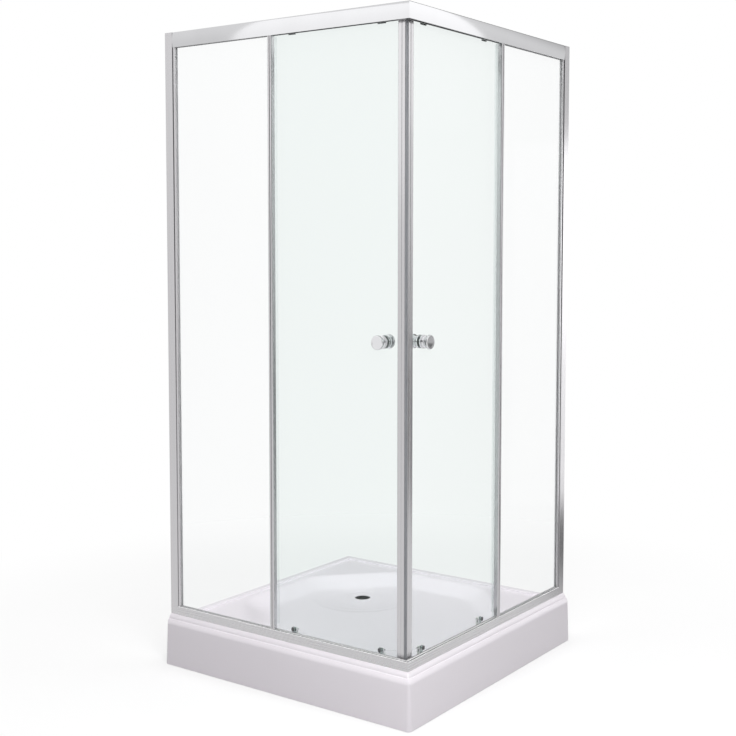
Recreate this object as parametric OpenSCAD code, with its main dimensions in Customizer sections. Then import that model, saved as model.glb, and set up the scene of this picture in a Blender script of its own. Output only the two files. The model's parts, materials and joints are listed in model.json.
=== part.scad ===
// Square corner shower cabin: a low acrylic tray, two fixed glass panels and two sliding
// glass doors that meet at the free corner. The walls of the room stand at -X and +Y.
// The origin is on the floor, under the middle of the tray.

/* [Tray] */
// Width and depth of the tray at its foot
tray_w = 900; // [800:10:1000]
// How far each skirt leans in between its foot and its top edge
skirt_draft = 4.5; // [1:0.5:8]
// Height of the outer ledge above the floor
ledge_h = 131; // [120:1:140]
// Width of the outer ledge in front of the kerb
ledge_w = 9; // [5:0.5:12]
// Height of the kerb that carries the glazed frame
kerb_h = 150; // [145:1:170]
// Height of the low rim along the two walls
wall_rim_h = 136; // [134:1:144]
// Width of the low rim along the two walls
wall_rim_w = 24; // [15:1:35]
// Thickness of the acrylic shell
shell_t = 4; // [3:0.5:5]
// Width of the flat deck between a wall and the edge of the basin
deck_w = 50; // [40:1:70]
// Leg of the 45 degree cut across each corner of the basin
basin_cut = 215; // [150:5:240]
// Horizontal run of the basin's side slope
basin_slope = 62; // [40:1:80]
// Height of the basin floor at the foot of its slope
basin_floor_h = 104; // [101:1:115]
// Height of the basin floor around the waste hole
waste_floor_h = 97; // [94:1:100]
// Distance of the waste hole from the basin's two edges on the wall side
waste_in = 219.5; // [180:0.5:280]
// Diameter of the waste hole
waste_d = 50; // [40:1:60]
// Diameter of the flat recess around the waste hole
waste_recess_d = 116; // [90:1:140]
// Width of the notch for the waste pipe in each skirt that faces a wall
pipe_notch_w = 80; // [50:5:120]
// Height of the notch for the waste pipe
pipe_notch_h = 65; // [60:5:80]

/* [Under the tray] */
// Thickness of the stiffening board under the basin
board_t = 10; // [6:1:16]
// Side of the square steel support tubes
tube_s = 30; // [25:1:35]
// Wall of the support tubes
tube_t = 1.5; // [1:0.25:2.5]
// Length of the two long support tubes
beam_len = 760; // [600:10:780]
// Diameter of the threaded leg studs
stud_d = 12; // [8:1:14]
// Diameter of the leg pads
pad_d = 42; // [30:1:60]
// Thickness of the leg pads
pad_h = 9; // [6:1:14]
// Height of one leg nut
nut_h = 9; // [6:0.5:10]

/* [Frame] */
// Height of the glazed frame from the kerb to the top of the head rail
frame_h = 1730; // [1500:10:1900]
// How far the frame's outer face stands in from the tray's foot
frame_inset = 23; // [20:0.5:26]
// Depth of the rails
rail_depth = 46; // [46:0.5:49]
// Depth of the channels that are screwed to the walls
channel_depth = 16.5; // [16.5:0.25:22]
// Height of the head rail
head_h = 44; // [42:1:60]
// Height of the bottom rail's front box
sill_h = 26; // [20:0.5:28]
// Depth of the glazed front box of each rail
front_box_d = 16; // [15:0.5:17]
// Wall thickness of the aluminium profiles
wall_t = 1.8; // [1.4:0.1:2.2]
// Visible width of the channel that is screwed to the wall
channel_w = 29; // [24:0.5:32]
// Visible width of the stile between the channel and the glass
stile_w = 8.5; // [7:0.5:14]
// Diameter of the channel's wall screw holes
wall_hole_d = 5.5; // [4:0.5:7]
// Distance between two neighbouring wall screw holes
wall_hole_pitch = 480; // [400:10:520]

/* [Glass] */
// Thickness of all glass panes
glass_t = 5; // [4:0.5:6]
// Width of the pocket that holds a fixed pane
pocket_w = 7; // [6.5:0.25:8]
// Depth of the pocket in the stile and the rails
pocket_depth = 14; // [10:0.5:15]
// Distance of the fixed panes' middle behind the frame's outer face
fixed_d = 9; // [8:0.25:9.5]
// Distance of the doors' middle behind the frame's outer face
door_d = 28; // [28:0.25:28.5]
// Distance of the post's open edge from the frame's outer corner
post_from_corner = 462; // [448:1:470]
// Width of the post on the free edge of a fixed pane
post_w = 14; // [12:0.5:18]

/* [Doors] */
// Travel of each door
door_travel = 320; // [250:5:325]
// How far a shut door reaches behind its post
door_overlap = 13; // [8:1:25]
// Width of the profile on a door's leading edge, at its outer face
lead_w = 24; // [20:0.5:28]
// Depth of the profile on a door's leading edge
lead_depth = 16; // [14:0.5:16]
// Thickness of a magnet seal, measured along the door
magnet_t = 5.2; // [4:0.1:7]
// Half of the running gap between the two magnet seals
magnet_gap = 0.25; // [0.2:0.05:0.6]
// Distance of the leading rollers from the frame's outer corner
front_roller_from_corner = 109; // [95:1:130]
// Distance between the two rollers of a door
roller_pitch = 303; // [250:1:310]
// Distance of the knobs' axis from the frame's outer corner
knob_from_corner = 101; // [90:1:120]
// Height of the knobs' axis above the kerb
knob_up = 860; // [700:10:1000]

/* [Rollers] */
// Diameter of a head roller
head_wheel_d = 20; // [18:0.5:21]
// Diameter of a sill roller
sill_wheel_d = 11; // [11:0.5:13]
// Depth of the rollers' groove
groove_depth = 1.8; // [1.2:0.1:2]
// Width of all rollers
wheel_w = 6; // [5:0.25:6]
// Distance of the rollers' middle behind the frame's outer face
wheel_d = 39; // [39:0.1:39.2]
// Diameter of the head rollers' axle
axle_d = 5; // [4:0.5:6]
// Diameter of the sill rollers' axle
pin_d = 4; // [3:0.5:4]
// Lift of the release plunger that frees a sill roller
release_lift = 4; // [2:0.5:5]

/* [Knobs] */
// Diameter of a knob's cap
knob_d = 38; // [30:1:42]
// Length of a knob from its washer to its face
knob_len = 26; // [22:1:34]
// Diameter of the screw that joins two knobs
knob_screw_d = 6; // [5:0.5:8]

/* [Hidden] */
$fn = 48;

// Clearances
run_gap = 0.3;        // between parts that pass each other
axle_gap = 0.05;      // radial, between an axle and its bore
bolt_gap = 1;         // radial, between a bolt and its hole in the glass
screw_gap = 0.05;     // radial, between a screw and its hole
eps = 0.01;

// Tray
foot = tray_w / 2;
edge = foot - skirt_draft;                 // top edge of the skirt
kerb_out = edge - ledge_w;                 // outer face of the kerb
frame_out = foot - frame_inset;            // outer face of the frame
kerb_in = frame_out - rail_depth - 6;      // inner edge of the kerb
basin_wall = edge - deck_w;                // basin edge on the wall side
basin_kerb = kerb_in - 3;                  // basin edge on the kerb side
basin_round = 120;                         // radius of the basin's outline corners
basin_shift = (basin_kerb - basin_wall) / 2;
basin_half = (basin_kerb + basin_wall) / 2;
floor_cut_less = 40;                       // the floor's corner cuts are shorter by this much
waste_off = basin_wall - waste_in;         // distance of the waste hole from the centre lines
waste_pos = [-waste_off, waste_off];

// Under the tray
board_hole_grow = 90;
board_in = 25;                             // from the edge of the basin's floor to the board's edge
board_hole_d = waste_recess_d + board_hole_grow;
// The basin's underside has risen by this much at the far edge of the board's hole
board_rise = (basin_floor_h - waste_floor_h) * board_hole_grow / 4 / basin_half;
board_top = waste_floor_h - shell_t + board_rise - 0.1;
board_z = board_top - board_t;
tube_z = board_z - tube_s;
beam_front_y = -250;
beam_rear_y = 310;
cross_x = 90;
leg_in = 70;                               // distance of a leg from its tube's end
leg_spots = [
    for (y = [beam_front_y, beam_rear_y]) for (s = [-1, 1]) [s * (beam_len / 2 - leg_in), y],
    [cross_x, (beam_front_y + beam_rear_y) / 2]];

// Frame heights
sill_top = kerb_h + sill_h;
head_top = kerb_h + frame_h;
head_z = head_top - head_h;
sill_pocket_z = sill_top - pocket_depth;
head_pocket_depth = 24;                     // of the head rails, for lifting a pane in
head_pocket_z = head_z + head_pocket_depth;
back_lip_h = 6;                            // height of the lip behind the guide fin
edge_r = 2.5;                              // rounding of the rails' visible edges

// Wall end of a face
wall_x = -edge;                            // back of the wall channel
channel_end = wall_x + channel_w;
stile_end = channel_end + stile_w;
stile_gap = 0.4;                           // between the stile and the channel's flanges
stile_d0 = wall_t + stile_gap;
stile_d1 = channel_depth - wall_t - stile_gap;
stile_x0 = wall_x + 6;
web_x = stile_end - pocket_depth - wall_t;

// Fixed pane and post
pocket_d0 = fixed_d - pocket_w / 2;
pocket_d1 = fixed_d + pocket_w / 2;
post_x1 = frame_out - post_from_corner;
post_x0 = post_x1 - post_w;
post_d0 = 0.5;
post_d1 = pocket_d1 + wall_t;
post_pocket = post_w - wall_t;
glass_edge_gap = 1.5;
pane_x0 = stile_end - pocket_depth + glass_edge_gap;
pane_x1 = post_x0 + post_pocket - glass_edge_gap;
pane_top_gap = 3;                          // between a pane's top edge and its pocket
gasket_t = (pocket_w - glass_t) / 2 - 0.1;
bead = 0.8;                                // visible width of a gasket's bead
gasket_lip = 0.9;                          // how far a bead stands out beside the gasket
flat_bead = 0.5;                           // height of the beads along the rails
gasket_gap = 1;                            // between a gasket and the foot of its pocket

// Doors
door_d0 = door_d - glass_t / 2;
door_d1 = door_d + glass_t / 2;
lead_d0 = door_d - lead_depth / 2;
lead_d1 = door_d + lead_depth / 2;
magnet_x0 = frame_out - magnet_gap - magnet_t;   // plus depth gives the mitre line
lead_x0 = magnet_x0 - lead_d0 - lead_w;
lead_slot = 8;
slot_gap = 0.2;
door_x0 = post_x0 - door_overlap;
door_x1 = lead_x0 + lead_slot - slot_gap;
door_z0 = kerb_h + 7;
door_z1 = head_z + 20;
roller_front_x = frame_out - front_roller_from_corner;
roller_rear_x = roller_front_x - roller_pitch;
knob_x = frame_out - knob_from_corner;
knob_z = kerb_h + knob_up;
seal_t = 1.2;
knob_round = 2;                            // rounding of a knob's outer edge

// Tracks
bead_w = 2.2;
ledge_z = head_z + 10;
ledge_d0 = lead_d1 + 1;
head_bead_z = ledge_z + 7.5;
head_wheel_z = head_bead_z + run_gap + head_wheel_d / 2 - groove_depth;
fin_z = kerb_h + 6;
sill_wheel_z = fin_z + run_gap + sill_wheel_d / 2 - groove_depth;
stop_len = 12;

// Hangers and guides
hanger_w = 26;
hanger_t = 2.5;
hanger_hole_z = head_z + 8;
hanger_drop = 7;                           // how far a hanger reaches below its bolt
hanger_boss_r = 9;
head_t = 1.1;                              // thickness of the axles' retaining heads
head_collar_r = 4;
guide_t = 2.3;
guide_half = 6.5;                          // half width of a sill guide
guide_low = 14;                            // how far its plate reaches below its screw
guide_high = 4.5;                          // and above it
guide_reach = 5;                           // how far the bridge reaches past the wheel's middle
guide_hole_z = sill_top + 4.5;
guide_screw_d = 5;
guide_cap_w = 9;
guide_cap_h = 11.5;
guide_cap_t = 3;
bolt_d = 6;
cap_r = 7;
cap_t = 4;
carriage_w = 12;
carriage_t = 2.3;
carriage_d0 = door_d1 + guide_t + run_gap;
shoulder_z = sill_wheel_z + sill_wheel_d / 2 + 0.6;
shoulder_h = 2;
spring_len = release_lift + 4;
bridge_z = shoulder_z + shoulder_h + spring_len;
bridge_t = 1.6;
stem_d = 6;
button_d = 8;
button_h = 5;
button_z = bridge_z + bridge_t + run_gap;
spring_wire = 1;

// Screws
screw_d = 4;
cleat_arm = 50;
cleat_t = 2;
cleat_d0 = front_box_d + 1;
cleat_d1 = ledge_d0 - 1;
cleat_mid = (cleat_d0 + cleat_d1) / 2;
cleat_holes = [for (s = [14, 38]) frame_out - cleat_d1 - s];
side_screw_x = (stile_x0 + channel_end) / 2;
side_screw_in = 100;                       // from the frame's ends to the outer stile screws
side_screw_z = [kerb_h + side_screw_in, kerb_h + frame_h / 2, head_top - side_screw_in];
wall_hole_z = [for (k = [-1.5, -0.5, 0.5, 1.5]) kerb_h + frame_h / 2 + k * wall_hole_pitch];

// Draws a piece of the left face, or the same piece mirrored onto the right face
module face(side) {
    if (side == "left") children();
    else mirror([1, 1, 0]) children();
}

// Box from x0 to x1, from depth d0 to d1 behind the left face's outer plane, from z0 to z1
module slab(x0, x1, d0, d1, z0, z1) {
    translate([x0, d0 - frame_out, z0]) cube([x1 - x0, d1 - d0, z1 - z0]);
}

// Runs a (depth, height) section along the left face from x0 to x1
module along(x0, x1) {
    translate([x0, -frame_out, 0]) rotate([90, 0, 90]) linear_extrude(x1 - x0) children();
}

// Raises an (x, depth) section from z0 to z1
module upright(z0, z1) {
    translate([0, -frame_out, z0]) linear_extrude(z1 - z0) children();
}

// Cylinder that runs inwards from depth d0 to d1 at x, z
module bar(x, z, d0, d1, r) {
    translate([x, d0 - frame_out, z]) rotate([-90, 0, 0]) cylinder(h = d1 - d0, r = r);
}

// Rectangle given by its two corners
module rect(x0, y0, x1, y1) {
    translate([x0, y0]) square([x1 - x0, y1 - y0]);
}

// Everything on the left face's side of the corner's mitre plane
module mitred(z0, z1) {
    intersection() {
        children();
        translate([0, 0, z0 - 1]) linear_extrude(z1 - z0 + 2)
            polygon([[-foot, -foot], [foot, -foot], [-foot, foot]]);
    }
}

// Square with 45 degree cuts, as rounded posts for a hull
module basin_posts(half, cut, r, z0, h) {
    inner = half - r;
    shift = cut - r * (2 - sqrt(2));
    for (sx = [-1, 1]) for (sy = [-1, 1]) {
        translate([basin_shift + sx * inner, -basin_shift + sy * (inner - shift), z0])
            cylinder(h = h, r = r, $fn = 64);
        translate([basin_shift + sx * (inner - shift), -basin_shift + sy * inner, z0])
            cylinder(h = h, r = r, $fn = 64);
    }
}

// Basin shape: sloped sides and a floor that falls to the waste hole. grow thickens it
module basin(grow, top) {
    hull() {
        basin_posts(basin_half + grow, basin_cut, basin_round, ledge_h - grow * 0.4, eps);
        basin_posts(basin_half - basin_slope + grow, basin_cut - floor_cut_less, basin_round,
            basin_floor_h - grow, eps);
        translate([waste_pos.x, waste_pos.y, waste_floor_h - grow])
            cylinder(h = eps, d = waste_recess_d, $fn = 64);
    }
    if (top > 0) hull() basin_posts(basin_half + grow, basin_cut, basin_round, ledge_h - 1, top);
}

// Outer form of the drafted skirt, thinned by inset on each side, from z0 to z1
module skirt_block(inset, z0, z1) {
    lean = skirt_draft / ledge_h;
    f = foot - inset - lean * z0;
    e = foot - inset - lean * z1;
    intersection() {
        rotate([90, 0, 0]) linear_extrude(2 * tray_w, center = true)
            polygon([[-f, z0], [f, z0], [e, z1], [-e, z1]]);
        rotate([90, 0, 90]) linear_extrude(2 * tray_w, center = true)
            polygon([[-f, z0], [f, z0], [e, z1], [-e, z1]]);
    }
}

// Round headed notch in the skirt, for the waste pipe, cut from the foot towards -X
module pipe_notch() {
    r = pipe_notch_w / 2;
    translate([-foot - 1, waste_off, 0]) {
        translate([0, -r, -1]) cube([skirt_draft + shell_t + 4, pipe_notch_w, pipe_notch_h - r + 1]);
        translate([0, 0, pipe_notch_h - r]) rotate([0, 90, 0])
            cylinder(h = skirt_draft + shell_t + 4, r = r);
    }
}

// Kerb along the two open sides and low rim along the two walls, drawn in by inset
module kerb_plan(inset) {
    difference() {
        rect(-edge + inset, -kerb_out + inset, kerb_out - inset, edge - inset);
        rect(-edge - 1, -kerb_in - inset, kerb_in + inset, edge + 1);
    }
}
module wall_rim_plan(inset) {
    difference() {
        rect(-edge + inset, -kerb_out + inset, kerb_out - inset, edge - inset);
        rect(-edge + wall_rim_w - inset, -edge - 1, edge + 1, edge - wall_rim_w + inset);
    }
}

module tray() {
    color("white") difference() {
        union() {
            difference() {
                union() {
                    skirt_block(0, 0, ledge_h);
                    translate([0, 0, ledge_h - 1]) linear_extrude(kerb_h - ledge_h + 1) kerb_plan(0);
                    translate([0, 0, ledge_h - 1]) linear_extrude(wall_rim_h - ledge_h + 1)
                        wall_rim_plan(0);
                }
                skirt_block(shell_t, -1, ledge_h - shell_t);
                translate([0, 0, ledge_h - shell_t - 1])
                    linear_extrude(kerb_h - ledge_h + 1) kerb_plan(shell_t);
            }
            basin(shell_t, 0);
        }
        basin(0, kerb_h);
        pipe_notch();
        mirror([1, 1, 0]) pipe_notch();
        translate([waste_pos.x, waste_pos.y, waste_floor_h - shell_t - 1])
            cylinder(h = shell_t + 2, d = waste_d);
    }
}

module tray_board() {
    board = basin_half - basin_slope - board_in;
    color("burlywood") translate([basin_shift, -basin_shift, board_z]) difference() {
        linear_extrude(board_t) polygon([
            [-board, -board + basin_cut / 2], [-board + basin_cut / 2, -board],
            [board - basin_cut / 2, -board], [board, -board + basin_cut / 2],
            [board, board - basin_cut / 2], [board - basin_cut / 2, board],
            [-board + basin_cut / 2, board], [-board, board - basin_cut / 2]]);
        translate([waste_pos.x - basin_shift, waste_pos.y + basin_shift, -1])
            cylinder(h = board_t + 2, d = board_hole_d);
    }
}

// Square tube along X from the origin, with a stud hole in its floor at each spot
module tube(length, spots) {
    difference() {
        translate([0, -tube_s / 2, 0]) cube([length, tube_s, tube_s]);
        translate([-1, -tube_s / 2 + tube_t, tube_t])
            cube([length + 2, tube_s - 2 * tube_t, tube_s - 2 * tube_t]);
        for (x = spots) translate([x, 0, -1]) cylinder(h = tube_t + 2, d = stud_d + 1);
    }
}

module support_tubes() {
    gap = beam_rear_y - beam_front_y - tube_s;
    color("slategray") {
        for (y = [beam_front_y, beam_rear_y])
            translate([-beam_len / 2, y, tube_z]) tube(beam_len, [leg_in, beam_len - leg_in]);
        translate([cross_x, beam_front_y + tube_s / 2, tube_z]) rotate([0, 0, 90]) tube(gap, [gap / 2]);
    }
}

module leg_studs() {
    color("silver") for (p = leg_spots)
        translate([p.x, p.y, pad_h - 5]) cylinder(h = tube_z + tube_t + nut_h + 3 - pad_h + 5, d = stud_d);
}

module leg_nuts() {
    color("gray") for (p = leg_spots) for (z = [tube_z - nut_h, tube_z + tube_t])
        translate([p.x, p.y, z]) difference() {
            cylinder(h = nut_h, d = stud_d * 1.75, $fn = 6);
            translate([0, 0, -1]) cylinder(h = nut_h + 2, r = stud_d / 2 + screw_gap);
        }
}

module leg_pads() {
    color("dimgray") for (p = leg_spots) translate([p.x, p.y, 0]) difference() {
        rotate_extrude() polygon([[0, 0], [pad_d / 2, 0], [pad_d / 2, pad_h * 0.45],
            [stud_d, pad_h], [0, pad_h]]);
        translate([0, 0, pad_h - 5]) cylinder(h = 6, r = stud_d / 2 + screw_gap);
    }
}

module wall_channel() {
    color("silver") difference() {
        upright(kerb_h, head_top) difference() {
            rect(wall_x, 0, channel_end, channel_depth);
            rect(wall_x + wall_t, wall_t, channel_end + 1, channel_depth - wall_t);
        }
        for (z = wall_hole_z) translate([wall_x - 1, channel_depth / 2 - frame_out, z])
            rotate([0, 90, 0]) cylinder(h = wall_t + 2, d = wall_hole_d);
        for (z = side_screw_z) bar(side_screw_x, z, channel_depth - wall_t - 1, channel_depth + 1,
            screw_d / 2 + screw_gap);
    }
}

// Stile: two flanges slide in the wall channel, their web closes the pane's pocket.
// Its ends are coped, so that the rails run on to the channel
module stile() {
    color("lightgray") difference() {
        upright(kerb_h, head_top) difference() {
            rect(stile_x0, stile_d0, stile_end, stile_d1);
            rect(stile_x0 - 1, stile_d0 + wall_t, web_x, stile_d1 - wall_t);
            rect(web_x + wall_t, pocket_d0, stile_end + 1, pocket_d1);
        }
        slab(channel_end, stile_end + 1, -1, rail_depth + 1, kerb_h - 1, sill_top);
        slab(channel_end, stile_end + 1, -1, rail_depth + 1, head_z, head_top + 1);
        for (z = side_screw_z) bar(side_screw_x, z, stile_d1 - wall_t - 1, stile_d1 + 1,
            screw_d / 2 + screw_gap);
    }
}

// Head rail section: front box with the pane's pocket, then the roller track
module head_section() {
    difference() {
        union() {
            rect(edge_r, head_z, rail_depth - edge_r, head_top);
            rect(0, head_z + edge_r, rail_depth, head_top - edge_r);
            for (p = [[edge_r, head_z + edge_r], [edge_r, head_top - edge_r],
                    [rail_depth - edge_r, head_top - edge_r]]) translate(p) circle(edge_r);
        }
        rect(pocket_d0, head_z - 1, pocket_d1, head_pocket_z);
        rect(wall_t, head_pocket_z + wall_t, front_box_d - wall_t, head_top - wall_t);
        rect(front_box_d, head_z - 1, rail_depth + 1, ledge_z);
        rect(front_box_d, ledge_z - 1, ledge_d0, head_top - wall_t);
        rect(ledge_d0 - 1, ledge_z + wall_t, rail_depth - wall_t, head_top - wall_t);
    }
    rect(wheel_d - bead_w / 2, ledge_z + wall_t - eps, wheel_d + bead_w / 2, head_bead_z - bead_w / 2);
    translate([wheel_d, head_bead_z - bead_w / 2]) circle(d = bead_w);
}

// Screw hole through a rail and its cleat, with a countersink that opens at ztop
module cleat_screw_hole(x, z0, ztop) {
    translate([x, cleat_mid - frame_out, z0]) {
        translate([0, 0, -1]) cylinder(h = ztop - z0 + 2, r = screw_d / 2 + screw_gap);
        translate([0, 0, ztop - z0 - wall_t]) cylinder(h = wall_t + eps, r1 = screw_d / 2 + screw_gap,
            r2 = screw_d / 2 + screw_gap + wall_t);
    }
}

module head_rail() {
    color("silver") difference() {
        mitred(head_z, head_top) along(channel_end, foot) head_section();
        for (x = cleat_holes) cleat_screw_hole(x, head_top - wall_t, head_top);
    }
}

// Bottom rail section: front box with the pane's pocket, then the trough with its guide fin
module sill_section() {
    difference() {
        union() {
            rect(0, kerb_h, front_box_d, sill_top - edge_r);
            rect(edge_r, kerb_h, front_box_d, sill_top);
            translate([edge_r, sill_top - edge_r]) circle(edge_r);
        }
        rect(pocket_d0, sill_pocket_z, pocket_d1, sill_top + 1);
        rect(wall_t, kerb_h + wall_t, front_box_d - wall_t, sill_pocket_z - wall_t);
    }
    rect(front_box_d - eps, kerb_h, rail_depth, kerb_h + wall_t);
    rect(rail_depth - wall_t, kerb_h, rail_depth, kerb_h + back_lip_h);
    rect(wheel_d - bead_w / 2, kerb_h, wheel_d + bead_w / 2, fin_z - bead_w / 2);
    translate([wheel_d, fin_z - bead_w / 2]) circle(d = bead_w);
}

module bottom_rail() {
    color("silver") difference() {
        mitred(kerb_h, sill_top) along(channel_end, foot) sill_section();
        for (x = cleat_holes) translate([x, cleat_mid - frame_out, kerb_h - 1])
            cylinder(h = wall_t + 2, r = screw_d / 2 + screw_gap);
    }
}

// L shaped plate that ties the two rails together behind the mitre
module cleat_plan() {
    a = frame_out - cleat_d0;
    b = frame_out - cleat_d1;
    polygon([[b - cleat_arm, -a], [a, -a], [a, cleat_arm - b], [b, cleat_arm - b], [b, -b],
        [b - cleat_arm, -b]]);
}

module cleat(z) {
    difference() {
        translate([0, 0, z]) linear_extrude(cleat_t) cleat_plan();
        for (side = ["left", "right"]) face(side) for (x = cleat_holes)
            translate([x, cleat_mid - frame_out, z - 1]) cylinder(h = cleat_t + 2,
                r = screw_d / 2 + screw_gap);
    }
}

module corner_cleats() {
    color("gray") {
        cleat(head_top - wall_t - cleat_t);
        difference() {
            cleat(kerb_h + wall_t);
            for (side = ["left", "right"]) face(side) for (x = cleat_holes)
                cleat_screw_hole(x, kerb_h + wall_t, kerb_h + wall_t + cleat_t);
        }
    }
}

// Countersunk screw with its head flush at ztop
module flush_screw(x, ztop, length) {
    translate([x, cleat_mid - frame_out, ztop - length]) {
        cylinder(h = length, d = screw_d);
        translate([0, 0, length - wall_t]) cylinder(h = wall_t, r1 = screw_d / 2,
            r2 = screw_d / 2 + wall_t);
    }
}

module frame_screws() {
    color("gainsboro") for (side = ["left", "right"]) face(side) {
        for (x = cleat_holes) {
            flush_screw(x, head_top, wall_t + cleat_t);
            flush_screw(x, kerb_h + wall_t + cleat_t, wall_t + cleat_t);
        }
        for (z = side_screw_z) {
            bar(side_screw_x, z, stile_d1 - wall_t - 4, channel_depth, screw_d / 2);
            bar(side_screw_x, z, channel_depth, channel_depth + 2.2, screw_d);
        }
    }
}

// Stops that sit on the head track's bead and end the doors' travel
module track_stops() {
    r = head_wheel_d / 2 + run_gap;
    color("dimgray") for (side = ["left", "right"]) face(side)
        for (x = [roller_front_x + r, roller_rear_x - door_travel - r - stop_len]) difference() {
            slab(x, x + stop_len, wheel_d - wheel_w / 2, rail_depth - wall_t - 0.1,
                ledge_z + wall_t, head_wheel_z + 2);
            slab(x - 1, x + stop_len + 1, wheel_d - bead_w / 2 - 0.1, wheel_d + bead_w / 2 + 0.1,
                ledge_z, head_bead_z + 0.1);
        }
}

module fixed_glass() {
    color([0.85, 0.95, 0.93, 0.35])
        slab(pane_x0, pane_x1, fixed_d - glass_t / 2, fixed_d + glass_t / 2,
            sill_pocket_z, head_pocket_z - pane_top_gap);
}

// Gaskets on both sides of a pane: upright ones in the stile and the post, flat ones in the rails
module gasket_set() {
    flat_x0 = stile_end + bead;
    flat_x1 = post_x0 - bead;
    front = fixed_d - glass_t / 2;
    back = fixed_d + glass_t / 2;
    for (d = [[front - gasket_t, front, front - gasket_t - gasket_lip, front],
              [back, back + gasket_t, back, back + gasket_t + gasket_lip]]) {
        slab(pane_x0, stile_end, d[0], d[1], sill_top, head_z);
        slab(stile_end, stile_end + bead, d[2], d[3], sill_top, head_z);
        slab(post_x0, pane_x1, d[0], d[1], sill_top, head_z);
        slab(post_x0 - bead, post_x0, d[2], d[3], sill_top, head_z);
        slab(flat_x0, flat_x1, d[0], d[1], sill_pocket_z + gasket_gap, sill_top);
        slab(flat_x0, flat_x1, d[2], d[3], sill_top, sill_top + flat_bead);
        slab(flat_x0, flat_x1, d[0], d[1], head_z, head_pocket_z - pane_top_gap - gasket_gap);
        slab(flat_x0, flat_x1, d[2], d[3], head_z - flat_bead, head_z);
    }
}

module pane_gaskets() {
    color("dimgray") for (side = ["left", "right"]) face(side) gasket_set();
}

module post() {
    color("lightgray") upright(sill_top, head_z) difference() {
        rect(post_x0, post_d0, post_x1, post_d1);
        rect(post_x0 - 1, pocket_d0, post_x0 + post_pocket, pocket_d1);
    }
}

// Seals on the posts' backs that brush the doors, cut short where the clamp bolts' caps pass
module post_seals() {
    color("whitesmoke") for (side = ["left", "right"]) face(side)
        upright(guide_hole_z + guide_cap_h / 2 + 3, hanger_hole_z - cap_r - 3) {
            rect(post_x0 + 4, post_d1, post_x1, post_d1 + seal_t);
            rect(post_x1 - seal_t, post_d1, post_x1, door_d0 - run_gap);
        }
}

module door_glass() {
    color([0.85, 0.95, 0.93, 0.35]) difference() {
        slab(door_x0, door_x1, door_d0, door_d1, door_z0, door_z1);
        bar(knob_x, knob_z, door_d0 - 1, door_d1 + 1, knob_screw_d / 2 + 3);
        for (x = [roller_front_x, roller_rear_x]) {
            bar(x, hanger_hole_z, door_d0 - 1, door_d1 + 1, bolt_d / 2 + bolt_gap);
            bar(x, guide_hole_z, door_d0 - 1, door_d1 + 1, guide_screw_d / 2 + bolt_gap);
        }
    }
}

// Leading profile: its outer side is cut along the corner's mitre for the magnet seal
module lead_profile() {
    color("lightgray") upright(door_z0, door_z1 - 2) difference() {
        polygon([[lead_x0, lead_d0], [magnet_x0 - lead_d0, lead_d0], [magnet_x0 - lead_d1, lead_d1],
            [lead_x0, lead_d1]]);
        rect(lead_x0 - 1, door_d0 - slot_gap, lead_x0 + lead_slot, door_d1 + slot_gap);
    }
}

module magnet_seal() {
    color("whitesmoke") upright(door_z0 + 1, door_z1 - 3)
        polygon([[magnet_x0 - lead_d0, lead_d0], [magnet_x0 + magnet_t - lead_d0, lead_d0],
            [magnet_x0 + magnet_t - lead_d1, lead_d1], [magnet_x0 - lead_d1, lead_d1]]);
}

// Clip on the door's trailing edge, with a blade that passes behind the fixed pane
module trailing_seal() {
    color("whitesmoke") {
        upright(door_z0 + 3, door_z1 - 10) difference() {
            rect(door_x0 - 1.6, door_d0 - seal_t, door_x0 + 9, door_d1 + seal_t);
            rect(door_x0, door_d0, door_x0 + 10, door_d1);
        }
        upright(sill_top + 2, head_z - 2)
            rect(door_x0 - 1.6, front_box_d + run_gap, door_x0 - 0.4, door_d0 - seal_t + eps);
    }
}

// Hangers: plate against the glass, collar, axle and retaining head
module hangers() {
    plate_d1 = door_d1 + hanger_t;
    wheel_d0 = wheel_d - wheel_w / 2;
    wheel_d1 = wheel_d + wheel_w / 2;
    color("silver") for (x = [roller_front_x, roller_rear_x]) difference() {
        union() {
            slab(x - hanger_w / 2, x + hanger_w / 2, door_d1, plate_d1,
                hanger_hole_z - hanger_drop, head_wheel_z);
            bar(x, head_wheel_z, door_d1, plate_d1, hanger_boss_r);
            bar(x, head_wheel_z, door_d1, wheel_d0 - run_gap, head_collar_r);
            bar(x, head_wheel_z, door_d1, wheel_d1 + run_gap + eps, axle_d / 2);
            bar(x, head_wheel_z, wheel_d1 + run_gap, wheel_d1 + run_gap + head_t, head_collar_r);
        }
        bar(x, hanger_hole_z, door_d1 - 1, plate_d1 + 1, bolt_d / 2 + screw_gap);
    }
}

// Sill guides: plate against the glass with a bridge that the plunger's stem slides through
module sill_guides() {
    plate_d1 = door_d1 + guide_t;
    color("silver") for (x = [roller_front_x, roller_rear_x]) difference() {
        union() {
            slab(x - guide_half, x + guide_half, door_d1, plate_d1, guide_hole_z - guide_low,
                guide_hole_z + guide_high);
            slab(x - guide_half, x + guide_half, door_d1, wheel_d + guide_reach, bridge_z,
                bridge_z + bridge_t);
        }
        bar(x, guide_hole_z, door_d1 - 1, plate_d1 + 1, guide_screw_d / 2 + screw_gap);
        translate([x, wheel_d - frame_out, bridge_z - 1])
            cylinder(h = bridge_t + 2, r = stem_d / 2 + axle_gap);
    }
}

// Bolt with a round cap on the outside and a nut on the inside of the glass
module clamp_bolt(x, z, plate_t) {
    plate_d1 = door_d1 + plate_t;
    bar(x, z, door_d0 - cap_t, door_d0, cap_r);
    bar(x, z, door_d0 - eps, plate_d1 + 3, bolt_d / 2);
    translate([x, plate_d1 - frame_out, z]) rotate([-90, 0, 0]) cylinder(h = 2.9, r = 5, $fn = 6);
}

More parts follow.
